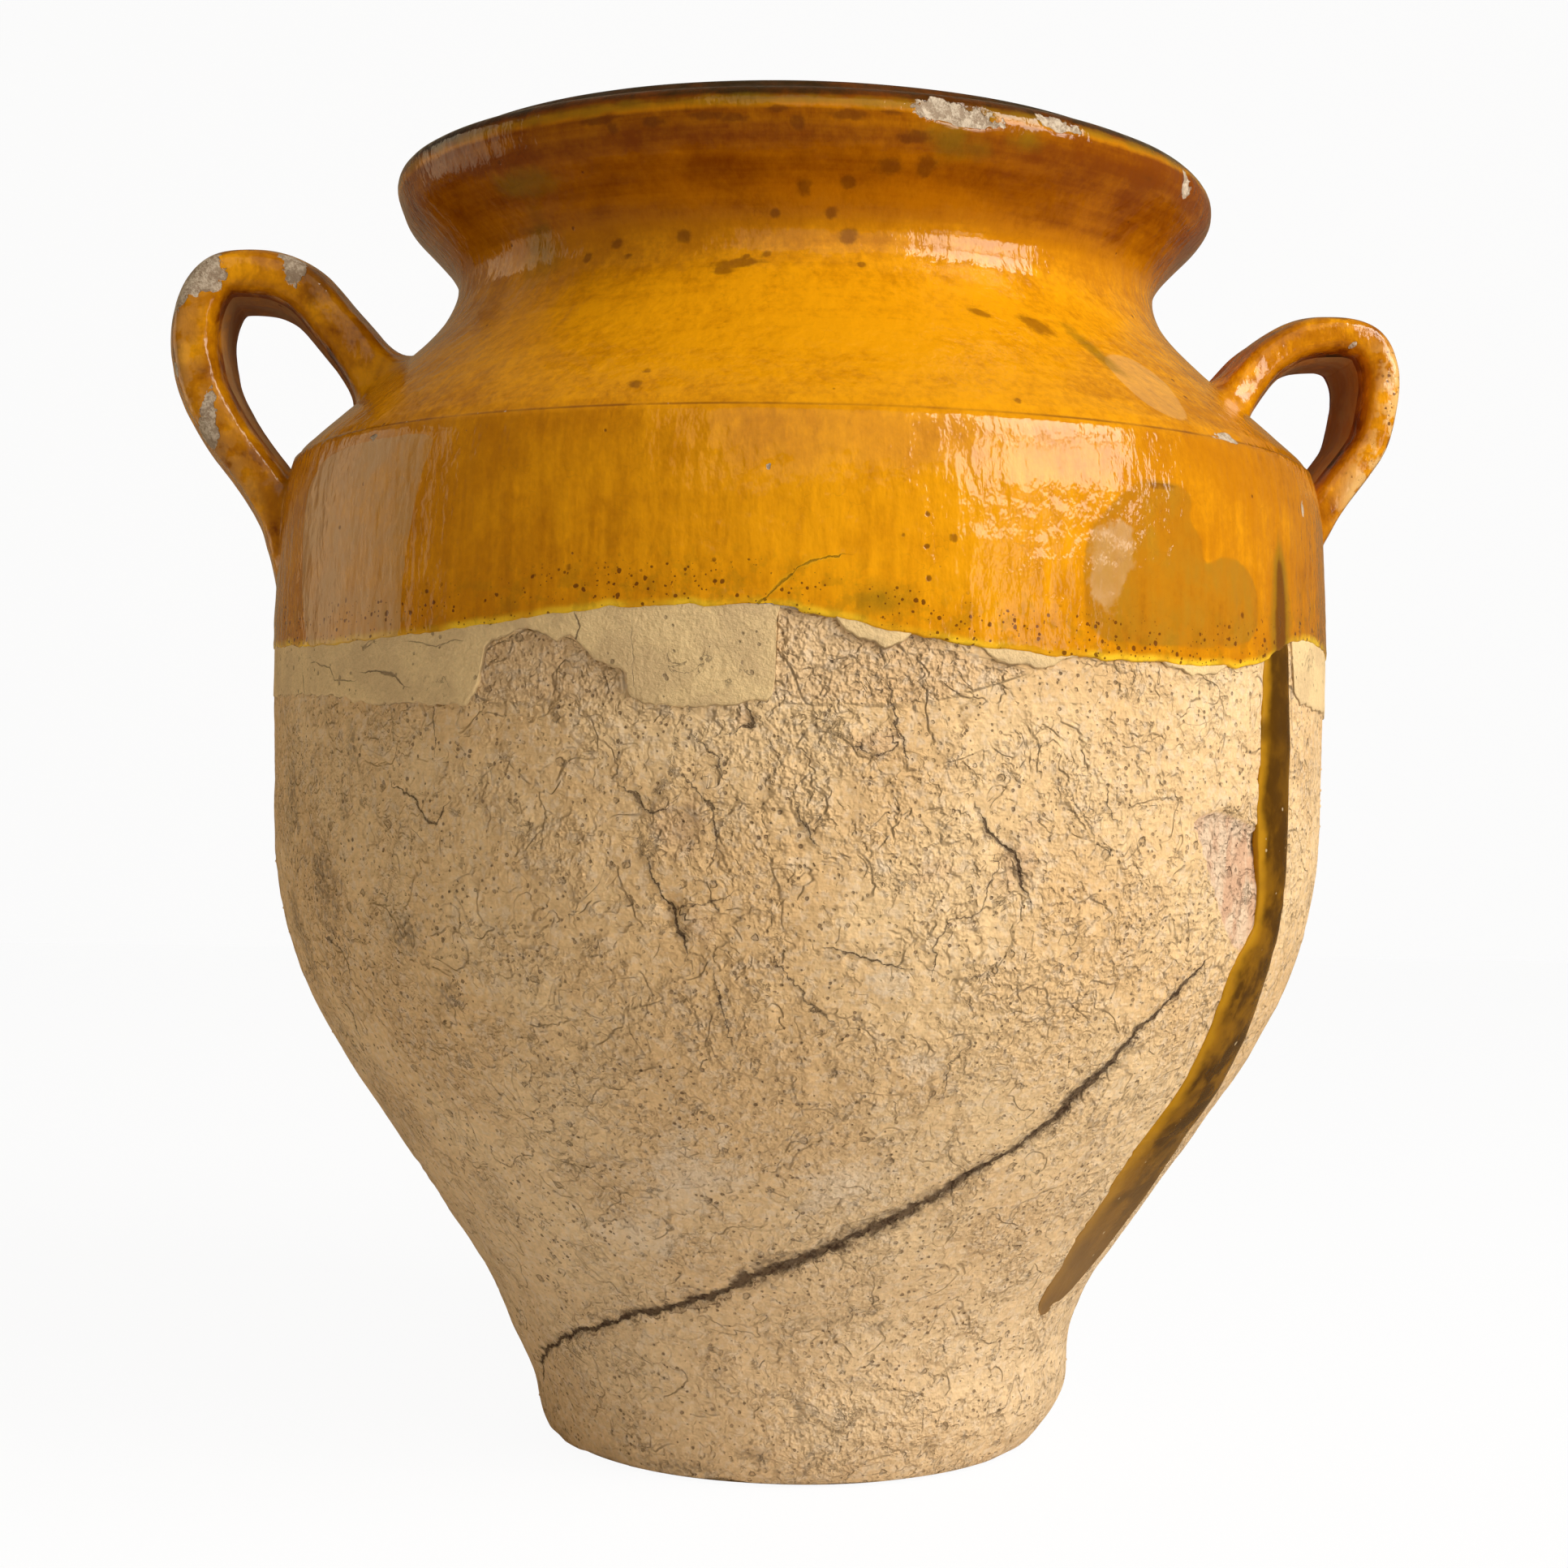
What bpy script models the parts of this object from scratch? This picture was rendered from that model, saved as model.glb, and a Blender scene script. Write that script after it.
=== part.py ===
"""Two-handled earthenware grease pot, half glazed, in metres with +Z up.

The pot stands on z = 0 with the wheel's axis on Z and its two strap handles on X.
It is built in the order in which such a pot is made: the thrown clay wall, the two
pulled straps luted to it, the pale slip, the honey glaze outside, the clear lining
inside and the one long run of glaze that crept down the bare belly.
Angles round the pot are counted from the front, -Y, towards the handle at +X.
"""

import math
from dataclasses import dataclass

import bmesh
import bpy
from mathutils import Vector

MM = 0.001

# Heights of the thrown wall, each counted from the station below it
HEEL_RISE = 16.0 * MM
CONE_START_RISE = 24.0 * MM
CONE_RISE = 40.0 * MM
BELLY_TURN_RISE = 47.5 * MM
BELLY_RISE = 37.5 * MM
BELLY_TOP_RISE = 25.4 * MM
RIDGE_RISE = 20.1 * MM
SHOULDER_START_RISE = 1.9 * MM
SHOULDER_RISE = 23.6 * MM
NECK_RISE = 15.0 * MM
FLARE_RISE = 13.2 * MM
BEAD_RISE = 7.3 * MM
LIP_RISE = 8.5 * MM

# Radii of the thrown wall at those stations
FOOT_RADIUS = 51.7 * MM
HEEL_RADIUS = 60.0 * MM
CONE_START_RADIUS = 69.7 * MM
CONE_TOP_RADIUS = 96.8 * MM
BELLY_RADIUS = 115.2 * MM
BELLY_TURN_INSET = 0.6 * MM
BELLY_TOP_INSET = 0.7 * MM
RIDGE_INSET = 3.6 * MM
RIDGE_STEP = 1.0 * MM
SHOULDER_TOP_RADIUS = 85.0 * MM
NECK_RADIUS = 77.1 * MM
MOUTH_RADIUS = 77.0 * MM
LAND_WIDTH = 3.0 * MM
BEAD_OVERHANG = 10.0 * MM
FLARE_INSET = 3.3 * MM

# Lean of the wall at its curved stations, as change of radius over change of height
FOOT_LEAN = 0.85
HEEL_LEAN = 0.25
BELLY_TURN_LEAN = 0.06
BELLY_TOP_LEAN = -0.06
RIDGE_LEAN = -0.34
FLARE_LEAN = 0.95

# Rolled lip above the bead
BEAD_ROUND_WIDTH = 3.8 * MM
BEAD_ROUND_HEIGHT = 4.3 * MM
LIP_COVE_INSET = 7.6 * MM
LIP_COVE_RISE = 4.6 * MM

# Inside of the wall
WALL_THICKNESS = 7.0 * MM
FLOOR_THICKNESS = 9.0 * MM
FLOOR_CORNER_RADIUS = 11.0 * MM
MOUTH_ROUND_DEPTH = 9.0 * MM

# Coats
SEAT_GAP = 0.3 * MM
SLIP_THICKNESS = 0.4 * MM
GLAZE_THICKNESS = 0.4 * MM
LINING_THICKNESS = 0.5 * MM
RUN_THICKNESS = 0.9 * MM

# Edge of the dipped glaze: its drop from the ridge, and its lobes as centre, spread and height
GLAZE_DROP = 42.1 * MM
GLAZE_LOBES = (
    (-80.0, 14.0, 1.7 * MM),
    (-15.5, 20.0, 6.1 * MM),
    (28.0, 20.0, -1.9 * MM),
    (61.0, 10.0, 5.8 * MM),
)

# Edge of the slip below the glaze's, and the stretches where it has flaked off, in degrees
SLIP_BAND = 11.9 * MM
SLIP_TUCK = 2.0 * MM
FLAKE_FLANK = 0.9
ARCH_FLAKE_START = -34.6
ARCH_FLAKE_END = -19.4
ARCH_FLAKE_RISE = 13.7 * MM
ARCH_FLAKE_FALL = 7.0 * MM
BARE_STRETCH_START = -6.6
BARE_STRETCH_END = 57.5

# Run of glaze: the angle of its middle, its drift in degrees, its half width and its tip
RUN_ANGLE = 50.8
RUN_DRIFT = 3.8
RUN_DRIFT_LENGTH = 115.0 * MM
RUN_LENGTH = 136.0 * MM
RUN_HALF_WIDTH = 7.2 * MM
RUN_SPREAD = 6.2 * MM
RUN_SPREAD_START = 0.3
RUN_TIP_LENGTH = 16.0 * MM
RUN_EDGE_SHARE = 0.4

# Strap handles: their section, their roots and how far each bend of the sweep pulls
STRAP_WIDTH = 28.0 * MM
STRAP_ROOT_FLARE = 9.0 * MM
STRAP_FLARE_SHARE = 0.22
STRAP_ROOT_THICKENING = 0.25
TONGUE_SHARE = 0.16
TONGUE_TIP_SHARE = 0.35
STRAP_SQUARENESS = 2.7
ROOT_DEPTH = 4.0 * MM
ROOT_LEAN = Vector((0.50, 0.87))
ROOT_PULL = 0.42
CROWN_PULL = 0.29
TURN_PULL = 0.55
BOW_PULL = 0.26
TAIL_LEAN = Vector((0.35, 0.94))
TAIL_PULL = 0.36

# Fineness of the solids
SEGMENTS = 48
FLAT = 360.0 / SEGMENTS
CLIMB_RINGS = 8
TURN_RINGS = 4
FALL_RINGS = 9
STRAP_SIDES = 14
RUN_RINGS = 22
RUN_RING_CROWDING = 1.5
RUN_COLUMNS = (-1.0, -0.5, 0.0, 0.5, 1.0)
LIP_ANGLES = (30.0, 60.0, 90.0)
CORNER_ANGLES = (0.0, 30.0, 60.0, 90.0)
MERGE_DISTANCE = 0.001 * MM


@dataclass(frozen=True)
class Strap:
    """Sizes of one handle, counted from the belly's side and from the ridge."""

    name: str
    side: int
    thickness: float
    crown_reach: float
    crown_rise: float
    bow_reach: float
    bow_rise: float
    upper_root_rise: float
    lower_root_drop: float
    tail_thickness: float


LEFT_STRAP = Strap(
    name="left_handle",
    side=-1,
    thickness=11.0 * MM,
    crown_reach=5.3 * MM,
    crown_rise=40.9 * MM,
    bow_reach=19.2 * MM,
    bow_rise=27.0 * MM,
    upper_root_rise=15.0 * MM,
    lower_root_drop=27.0 * MM,
    tail_thickness=6.5 * MM,
)
RIGHT_STRAP = Strap(
    name="right_handle",
    side=1,
    thickness=9.8 * MM,
    crown_reach=2.4 * MM,
    crown_rise=34.6 * MM,
    bow_reach=14.2 * MM,
    bow_rise=24.4 * MM,
    upper_root_rise=14.0 * MM,
    lower_root_drop=19.0 * MM,
    tail_thickness=6.5 * MM,
)


@dataclass(frozen=True)
class Finish:
    """Colour, roughness and metallic value of one material."""

    name: str
    colour: tuple
    roughness: float
    metallic: float = 0.0


BARE_CLAY = Finish("bare_clay", (0.52, 0.36, 0.20), 0.93)
PALE_SLIP = Finish("pale_slip", (0.62, 0.49, 0.31), 0.85)
HONEY_GLAZE = Finish("honey_glaze", (0.66, 0.27, 0.02), 0.22)
HANDLE_GLAZE = Finish("handle_glaze", (0.55, 0.22, 0.02), 0.25)
INNER_GLAZE = Finish("inner_glaze", (0.50, 0.26, 0.06), 0.25)
RUN_GLAZE = Finish("run_glaze", (0.13, 0.06, 0.02), 0.20)


def clear_scene():
    """Remove every object of the scene."""
    for thing in list(bpy.data.objects):
        bpy.data.objects.remove(thing, do_unlink=True)


def make_material(finish):
    """Return a material that holds one finish."""
    material = bpy.data.materials.new(finish.name)
    material.use_nodes = True
    shader = material.node_tree.nodes["Principled BSDF"]
    shader.inputs["Base Color"].default_value = (*finish.colour, 1.0)
    shader.inputs["Roughness"].default_value = finish.roughness
    shader.inputs["Metallic"].default_value = finish.metallic
    material.diffuse_color = (*finish.colour, 1.0)
    return material


def add_object(name, mesh_data, finish):
    """Turn a bmesh into a named, smooth object with one material."""
    bmesh.ops.remove_doubles(mesh_data, verts=mesh_data.verts, dist=MERGE_DISTANCE)
    bmesh.ops.recalc_face_normals(mesh_data, faces=mesh_data.faces)
    mesh = bpy.data.meshes.new(name)
    mesh_data.to_mesh(mesh)
    mesh_data.free()
    mesh.shade_smooth()
    mesh.set_sharp_from_angle(angle=math.radians(50.0))
    thing = bpy.data.objects.new(name, mesh)
    bpy.context.scene.collection.objects.link(thing)
    if finish is not None:
        mesh.materials.append(make_material(finish))
    return thing


def hide_cutter(cutter):
    """Mark an object as a cutter, which isn't part of the pot."""
    cutter.hide_render = True
    cutter.display_type = "WIRE"


def cut(target, cutter):
    """Cut one object out of another with an exact Boolean."""
    modifier = target.modifiers.new("cut_" + cutter.name, "BOOLEAN")
    modifier.operation = "DIFFERENCE"
    modifier.solver = "EXACT"
    modifier.object = cutter


def spin_profile(points):
    """Turn a profile of (radius, height) points round Z into a closed bmesh."""
    shape = bmesh.new()
    verts = [shape.verts.new((radius, 0.0, height)) for radius, height in points]
    edges = [shape.edges.new(pair) for pair in zip(verts[:-1], verts[1:])]
    bmesh.ops.spin(
        shape,
        geom=verts + edges,
        cent=(0.0, 0.0, 0.0),
        axis=(0.0, 0.0, 1.0),
        angle=math.tau,
        steps=SEGMENTS,
        use_merge=True,
    )
    return shape


def loft(sections, closed):
    """Skin a list of closed sections; an open loft gets its two end caps."""
    shape = bmesh.new()
    loops = [[shape.verts.new(point) for point in section] for section in sections]
    pairs = list(zip(loops[:-1], loops[1:]))
    if closed:
        pairs.append((loops[-1], loops[0]))
    for near, far in pairs:
        for index in range(len(near)):
            after = (index + 1) % len(near)
            shape.faces.new((near[index], near[after], far[after], far[index]))
    if not closed:
        shape.faces.new(loops[0])
        shape.faces.new(loops[-1])
    return shape


def hermite(start, end, steps):
    """Points after start on the curve r(z) between two (radius, height, lean) stations."""
    low_radius, low_height, low_lean = start
    high_radius, high_height, high_lean = end
    span = high_height - low_height
    points = []
    for step in range(1, steps + 1):
        t = step / steps
        radius = (
            low_radius * (2 * t**3 - 3 * t**2 + 1)
            + low_lean * span * (t**3 - 2 * t**2 + t)
            + high_radius * (3 * t**2 - 2 * t**3)
            + high_lean * span * (t**3 - t**2)
        )
        points.append((radius, low_height + span * t))
    return points


def bezier(corners, steps):
    """Points after the first on a Bezier curve through its 3 or 4 control corners."""
    points = []
    for step in range(1, steps + 1):
        t = step / steps
        level = [Vector(corner) for corner in corners]
        while len(level) > 1:
            level = [a.lerp(b, t) for a, b in zip(level[:-1], level[1:])]
        points.append(tuple(level[0]))
    return points


def stack(*rises):
    """Running total of rises, which gives each station's height."""
    total = 0.0
    heights = []
    for rise in rises:
        total += rise
        heights.append(total)
    return heights


(
    HEEL_Z,
    CONE_START_Z,
    CONE_TOP_Z,
    BELLY_TURN_Z,
    BELLY_Z,
    BELLY_TOP_Z,
    RIDGE_Z,
    SHOULDER_START_Z,
    SHOULDER_TOP_Z,
    NECK_Z,
    FLARE_Z,
    BEAD_Z,
    RIM_Z,
) = stack(
    HEEL_RISE,
    CONE_START_RISE,
    CONE_RISE,
    BELLY_TURN_RISE,
    BELLY_RISE,
    BELLY_TOP_RISE,
    RIDGE_RISE,
    SHOULDER_START_RISE,
    SHOULDER_RISE,
    NECK_RISE,
    FLARE_RISE,
    BEAD_RISE,
    LIP_RISE,
)
RIDGE_RADIUS = BELLY_RADIUS - RIDGE_INSET
LAND_OUTER_RADIUS = MOUTH_RADIUS + LAND_WIDTH
BEAD_RADIUS = LAND_OUTER_RADIUS + BEAD_OVERHANG


def outer_profile():
    """Outside of the clay from the foot's edge up to the outer edge of the lip's land."""
    cone_lean = (CONE_TOP_RADIUS - CONE_START_RADIUS) / CONE_RISE
    shoulder_start = (RIDGE_RADIUS - RIDGE_STEP, SHOULDER_START_Z)
    shoulder_lean = (SHOULDER_TOP_RADIUS - shoulder_start[0]) / SHOULDER_RISE
    foot = (FOOT_RADIUS, 0.0, FOOT_LEAN)
    heel = (HEEL_RADIUS, HEEL_Z, HEEL_LEAN)
    cone_start = (CONE_START_RADIUS, CONE_START_Z, cone_lean)
    cone_top = (CONE_TOP_RADIUS, CONE_TOP_Z, cone_lean)
    belly_turn = (BELLY_RADIUS - BELLY_TURN_INSET, BELLY_TURN_Z, BELLY_TURN_LEAN)
    belly = (BELLY_RADIUS, BELLY_Z, 0.0)
    belly_top = (BELLY_RADIUS - BELLY_TOP_INSET, BELLY_TOP_Z, BELLY_TOP_LEAN)
    ridge = (RIDGE_RADIUS, RIDGE_Z, RIDGE_LEAN)
    shoulder_top = (SHOULDER_TOP_RADIUS, SHOULDER_TOP_Z, shoulder_lean)
    neck = (NECK_RADIUS, NECK_Z, 0.0)
    flare = (BEAD_RADIUS - FLARE_INSET, FLARE_Z, FLARE_LEAN)
    bead = (BEAD_RADIUS, BEAD_Z, 0.0)
    points = [(FOOT_RADIUS, 0.0)]
    points += hermite(foot, heel, 3)
    points += hermite(heel, cone_start, 3)
    points += hermite(cone_start, cone_top, 1)
    points += hermite(cone_top, belly_turn, 5)
    points += hermite(belly_turn, belly, 2)
    points += hermite(belly, belly_top, 1)
    points += hermite(belly_top, ridge, 2)
    points.append(shoulder_start)
    points.append((SHOULDER_TOP_RADIUS, SHOULDER_TOP_Z))
    points += hermite(shoulder_top, neck, 3)
    points += hermite(neck, flare, 3)
    points += hermite(flare, bead, 2)
    points += lip_profile()
    return points


def lip_profile():
    """Rolled top of the bead and the cove that climbs to the land."""
    centre = BEAD_RADIUS - BEAD_ROUND_WIDTH
    points = []
    for angle in LIP_ANGLES:
        across = BEAD_ROUND_WIDTH * math.cos(math.radians(angle))
        up = BEAD_ROUND_HEIGHT * math.sin(math.radians(angle))
        points.append((centre + across, BEAD_Z + up))
    cove = (BEAD_RADIUS - LIP_COVE_INSET, BEAD_Z + LIP_COVE_RISE)
    land = (LAND_OUTER_RADIUS, RIM_Z)
    points += bezier((points[-1], cove, land), 2)
    return points


def inner_profile():
    """Inside of the clay from the land's inner edge down to the middle of the floor."""
    outside = outer_profile()
    throat = radius_at(outside, NECK_Z) - WALL_THICKNESS
    throat_z = NECK_Z - FLARE_RISE / 3
    mouth = bezier(
        (
            (MOUTH_RADIUS, RIM_Z),
            (MOUTH_RADIUS - MOUTH_ROUND_DEPTH / 4, RIM_Z - MOUTH_ROUND_DEPTH),
            (throat, NECK_Z + FLARE_RISE / 3),
            (throat, throat_z),
        ),
        4,
    )
    corner_z = FLOOR_THICKNESS + FLOOR_CORNER_RADIUS
    levels = (
        SHOULDER_TOP_Z - SHOULDER_RISE / 2,
        BELLY_TOP_Z + RIDGE_RISE / 3,
        BELLY_Z,
        BELLY_TURN_Z,
        BELLY_TURN_Z - BELLY_TURN_RISE / 2,
        CONE_TOP_Z,
        CONE_START_Z,
    )
    side = [(thinned(outside, height), height) for height in levels]
    corner_radius = thinned(outside, corner_z)
    corner = []
    for angle in CORNER_ANGLES:
        inset = FLOOR_CORNER_RADIUS * (1 - math.cos(math.radians(angle)))
        drop = FLOOR_CORNER_RADIUS * math.sin(math.radians(angle))
        corner.append((corner_radius - inset, corner_z - drop))
    return [(MOUTH_RADIUS, RIM_Z)] + mouth + side + corner + [(0.0, FLOOR_THICKNESS)]


def radius_at(points, height):
    """Radius of a rising profile at one height, read along its straight facets."""
    for (low_radius, low), (high_radius, high) in zip(points[:-1], points[1:]):
        if low <= height <= high and high > low:
            share = (height - low) / (high - low)
            return low_radius + share * (high_radius - low_radius)
    raise ValueError("height outside the profile")


def thinned(points, height):
    """Radius of the inside wall, one wall's thickness in from the outside."""
    reach = WALL_THICKNESS
    lean = (radius_at(points, height + reach) - radius_at(points, height - reach)) / (2 * reach)
    return radius_at(points, height) - WALL_THICKNESS * math.hypot(1.0, lean)


def offset_profile(points, distance):
    """Move a profile to its left by one distance, so that its facets stay parallel."""
    normals = []
    for (r0, z0), (r1, z1) in zip(points[:-1], points[1:]):
        length = math.hypot(r1 - r0, z1 - z0)
        normals.append(((z1 - z0) / length, -(r1 - r0) / length))
    moved = []
    for index, (radius, height) in enumerate(points):
        before = normals[max(index - 1, 0)]
        after = normals[min(index, len(normals) - 1)]
        share = distance / (1.0 + before[0] * after[0] + before[1] * after[1])
        moved.append(
            (radius + share * (before[0] + after[0]), height + share * (before[1] + after[1]))
        )
    return moved


def on_facets(radius, height, angle):
    """Point of the wall at an angle from the front, on the flats between the segments."""
    within = angle % FLAT - FLAT / 2
    flat = radius * math.cos(math.radians(FLAT / 2)) / math.cos(math.radians(within))
    turn = math.radians(angle)
    return (flat * math.sin(turn), -flat * math.cos(turn), height)


def glaze_edge(angle):
    """Height of the dipped glaze's lower edge at an angle from the front."""
    height = RIDGE_Z - GLAZE_DROP
    for centre, spread, lift in GLAZE_LOBES:
        away = (angle - centre + 180.0) % 360.0 - 180.0
        height += lift * math.exp(-((away / spread) ** 2))
    return height


def within_flake(angle, start, end):
    """How far an angle lies inside a flaked stretch, from 0 outside it to 1."""
    share = min(angle - start, end - angle) / FLAKE_FLANK
    return max(0.0, min(1.0, share))


def slip_edge(angle):
    """Height of the slip's lower edge, raised where the slip has flaked off."""
    height = RIDGE_Z - GLAZE_DROP - SLIP_BAND
    arch_share = (angle - ARCH_FLAKE_START) / (ARCH_FLAKE_END - ARCH_FLAKE_START)
    arch_top = height + ARCH_FLAKE_RISE - ARCH_FLAKE_FALL * arch_share
    hidden = glaze_edge(angle) + SLIP_TUCK
    height += (arch_top - height) * within_flake(angle, ARCH_FLAKE_START, ARCH_FLAKE_END)
    height += (hidden - height) * within_flake(angle, BARE_STRETCH_START, BARE_STRETCH_END)
    return height


def slip_columns():
    """Angles of the slip's sections, closer together along the flanks of its flakes."""
    angles = [index * FLAT - 180.0 for index in range(SEGMENTS)]
    for start, end in (
        (ARCH_FLAKE_START, ARCH_FLAKE_END),
        (BARE_STRETCH_START, BARE_STRETCH_END),
    ):
        angles += [start, start + FLAKE_FLANK, end - FLAKE_FLANK, end]
    return sorted(angles)


def coat_section(inside, outside, levels, angle):
    """Closed section of a coat between two profiles, through its levels top to bottom."""
    down = [on_facets(radius_at(inside, level), level, angle) for level in levels]
    up = [on_facets(radius_at(outside, level), level, angle) for level in reversed(levels)]
    return down + up


def build_clay_body():
    """Thrown wall with its floor, from the foot to the land on the lip."""
    profile = [(0.0, 0.0)] + outer_profile() + inner_profile()
    return add_object("clay_body", spin_profile(profile), BARE_CLAY)


def build_slip_coat():
    """Pale slip on the belly, from under the ridge down to its flaked edge."""
    clay = outer_profile()
    inside = offset_profile(clay, SEAT_GAP)
    outside = offset_profile(clay, SEAT_GAP + SLIP_THICKNESS)
    top = RIDGE_Z - SEAT_GAP
    middle = (BELLY_TOP_Z + RIDGE_Z) / 2
    sections = []
    for angle in slip_columns():
        edge = slip_edge(angle)
        levels = (top, middle, BELLY_TOP_Z, (BELLY_TOP_Z + edge) / 2, edge)
        sections.append(coat_section(inside, outside, levels, angle))
    return add_object("slip_coat", loft(sections, closed=True), PALE_SLIP)


def glaze_profiles():
    """Inner and outer faces of the glaze, which steps out over the slip at the ridge."""
    clay = outer_profile()
    on_clay = SEAT_GAP
    on_slip = 2 * SEAT_GAP + SLIP_THICKNESS
    faces = []
    for depth in (0.0, GLAZE_THICKNESS):
        low = offset_profile(clay, on_slip + depth)
        high = offset_profile(clay, on_clay + depth)
        below = [point for point, base in zip(low, clay) if base[1] <= RIDGE_Z]
        above = [point for point, base in zip(high, clay) if base[1] > RIDGE_Z]
        faces.append(below + above[:-1])
    return faces


def build_outer_glaze():
    """Honey glaze from the lip down to its wavy dipped edge."""
    inside, outside = glaze_profiles()
    fixed_inside = [point for point in inside if point[1] > BELLY_TOP_Z - SEAT_GAP]
    fixed_outside = [point for point in outside if point[1] > BELLY_TOP_Z - SEAT_GAP]
    sections = []
    for index in range(SEGMENTS):
        angle = index * FLAT
        edge = glaze_edge(angle)
        skirt = ((BELLY_TOP_Z + edge) / 2, edge)
        down = [on_facets(radius, height, angle) for radius, height in reversed(fixed_inside)]
        down += [on_facets(radius_at(inside, level), level, angle) for level in skirt]
        up = [on_facets(radius_at(outside, level), level, angle) for level in reversed(skirt)]
        up += [on_facets(radius, height, angle) for radius, height in fixed_outside]
        sections.append(down + up)
    return add_object("outer_glaze", loft(sections, closed=True), HONEY_GLAZE)


def build_inner_glaze():
    """Lining of clear glaze from just inside the lip down over the floor."""
    clay = inner_profile()
    seat = offset_profile(clay, SEAT_GAP)
    face = offset_profile(clay, SEAT_GAP + LINING_THICKNESS)
    profile = list(reversed(seat[1:])) + face[1:]
    profile[0] = (0.0, profile[0][1])
    profile[-1] = (0.0, profile[-1][1])
    return add_object("inner_glaze", spin_profile(profile), INNER_GLAZE)


def run_half_width(share):
    """Half width of the run at a share of its length, ending in a round tip."""
    swell = math.sin(math.pi * max(0.0, share - RUN_SPREAD_START)) ** 2
    width = RUN_HALF_WIDTH + RUN_SPREAD * swell
    to_tip = (1.0 - share) * RUN_LENGTH / RUN_TIP_LENGTH
    if to_tip < 1.0:
        width *= math.sqrt(1.0 - (1.0 - to_tip) ** 2)
    return width


def run_centre(share):
    """Angle of the run's middle, which drifts to the right until just above its tip."""
    along = share * RUN_LENGTH
    if along < RUN_DRIFT_LENGTH:
        return RUN_ANGLE + RUN_DRIFT * along / RUN_DRIFT_LENGTH
    return RUN_ANGLE + RUN_DRIFT * (RUN_LENGTH - along) / (RUN_LENGTH - RUN_DRIFT_LENGTH)


def build_glaze_run():
    """Long run of glaze from the glaze's edge down the bare belly."""
    clay = outer_profile()
    inside = offset_profile(clay, SEAT_GAP)
    outside = offset_profile(clay, SEAT_GAP + RUN_THICKNESS)
    start = glaze_edge(RUN_ANGLE) - SEAT_GAP
    sections = []
    for ring in range(RUN_RINGS):
        share = 1.0 - (1.0 - ring / RUN_RINGS) ** RUN_RING_CROWDING
        middle = run_centre(share)
        half = math.degrees(run_half_width(share) / radius_at(clay, start - share * RUN_LENGTH))
        under = []
        over = []
        for place in RUN_COLUMNS:
            angle = middle + half * place
            step = glaze_edge(angle) - glaze_edge(RUN_ANGLE)
            height = start - share * RUN_LENGTH + step * (1.0 - share)
            seat = radius_at(inside, height)
            face = radius_at(outside, height)
            crown = seat + (face - seat) * (1.0 - (1.0 - RUN_EDGE_SHARE) * place**2)
            under.append(on_facets(seat, height, angle))
            over.append(on_facets(crown, height, angle))
        sections.append(under + over[::-1])
    return add_object("glaze_run", loft(sections, closed=False), RUN_GLAZE)


def strap_path(strap):
    """Middle line of a strap as (radius, height) points, from root to root."""
    clay = outer_profile()
    upper_z = RIDGE_Z + strap.upper_root_rise
    lower_z = RIDGE_Z - strap.lower_root_drop
    start = Vector((radius_at(clay, upper_z) - ROOT_DEPTH, upper_z - ROOT_DEPTH))
    crown = Vector((BELLY_RADIUS + strap.crown_reach, RIDGE_Z + strap.crown_rise))
    bow = Vector((BELLY_RADIUS + strap.bow_reach, RIDGE_Z + strap.bow_rise))
    end = Vector((radius_at(clay, lower_z) - ROOT_DEPTH, lower_z))
    climb = (crown - start).length
    fall = (bow - end).length
    quarter = bow - crown
    rise = (start, start + ROOT_LEAN * climb * ROOT_PULL, crown - Vector((climb * CROWN_PULL, 0)), crown)
    turn = (
        crown,
        crown + Vector((quarter.x * TURN_PULL, 0)),
        bow - Vector((0, quarter.y * TURN_PULL)),
        bow,
    )
    drop = (bow, bow - Vector((0, fall * BOW_PULL)), end + TAIL_LEAN * fall * TAIL_PULL, end)
    path = [tuple(start)]
    path += bezier(rise, CLIMB_RINGS)
    path += bezier(turn, TURN_RINGS)
    path += bezier(drop, FALL_RINGS)
    return path


def strap_section(strap, share, grow):
    """Width and thickness of a strap at a share of its length from root to root."""
    to_root = min(share, 1.0 - share) / STRAP_FLARE_SHARE
    flare = max(0.0, 1.0 - to_root) ** 2
    width = STRAP_WIDTH
    thickness = strap.thickness
    to_tip = (1.0 - share) / TONGUE_SHARE
    if to_tip < 1.0:
        tongue = math.sqrt(1.0 - (1.0 - to_tip) ** 2)
        width *= TONGUE_TIP_SHARE + (1.0 - TONGUE_TIP_SHARE) * tongue
    if share > 0.5:
        thickness += (strap.tail_thickness - thickness) * flare
    else:
        width += STRAP_ROOT_FLARE * flare
        thickness += thickness * STRAP_ROOT_THICKENING * flare
    return width + 2 * grow, thickness + 2 * grow


def strap_shape(strap, grow):
    """Swept strap of rounded section, grown all round by one clearance."""
    path = strap_path(strap)
    sections = []
    for index, (radius, height) in enumerate(path):
        before = Vector(path[max(index - 1, 0)])
        after = Vector(path[min(index + 1, len(path) - 1)])
        along = (after - before).normalized()
        width, thickness = strap_section(strap, index / (len(path) - 1), grow)
        section = []
        for side in range(STRAP_SIDES):
            turn = math.tau * side / STRAP_SIDES
            power = 2.0 / STRAP_SQUARENESS
            across = math.copysign(abs(math.cos(turn)) ** power, math.cos(turn)) * width / 2
            out = math.copysign(abs(math.sin(turn)) ** power, math.sin(turn)) * thickness / 2
            x = radius - along.y * out
            z = height + along.x * out
            section.append((strap.side * x, across, z))
        sections.append(section)
    return loft(sections, closed=False)


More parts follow.
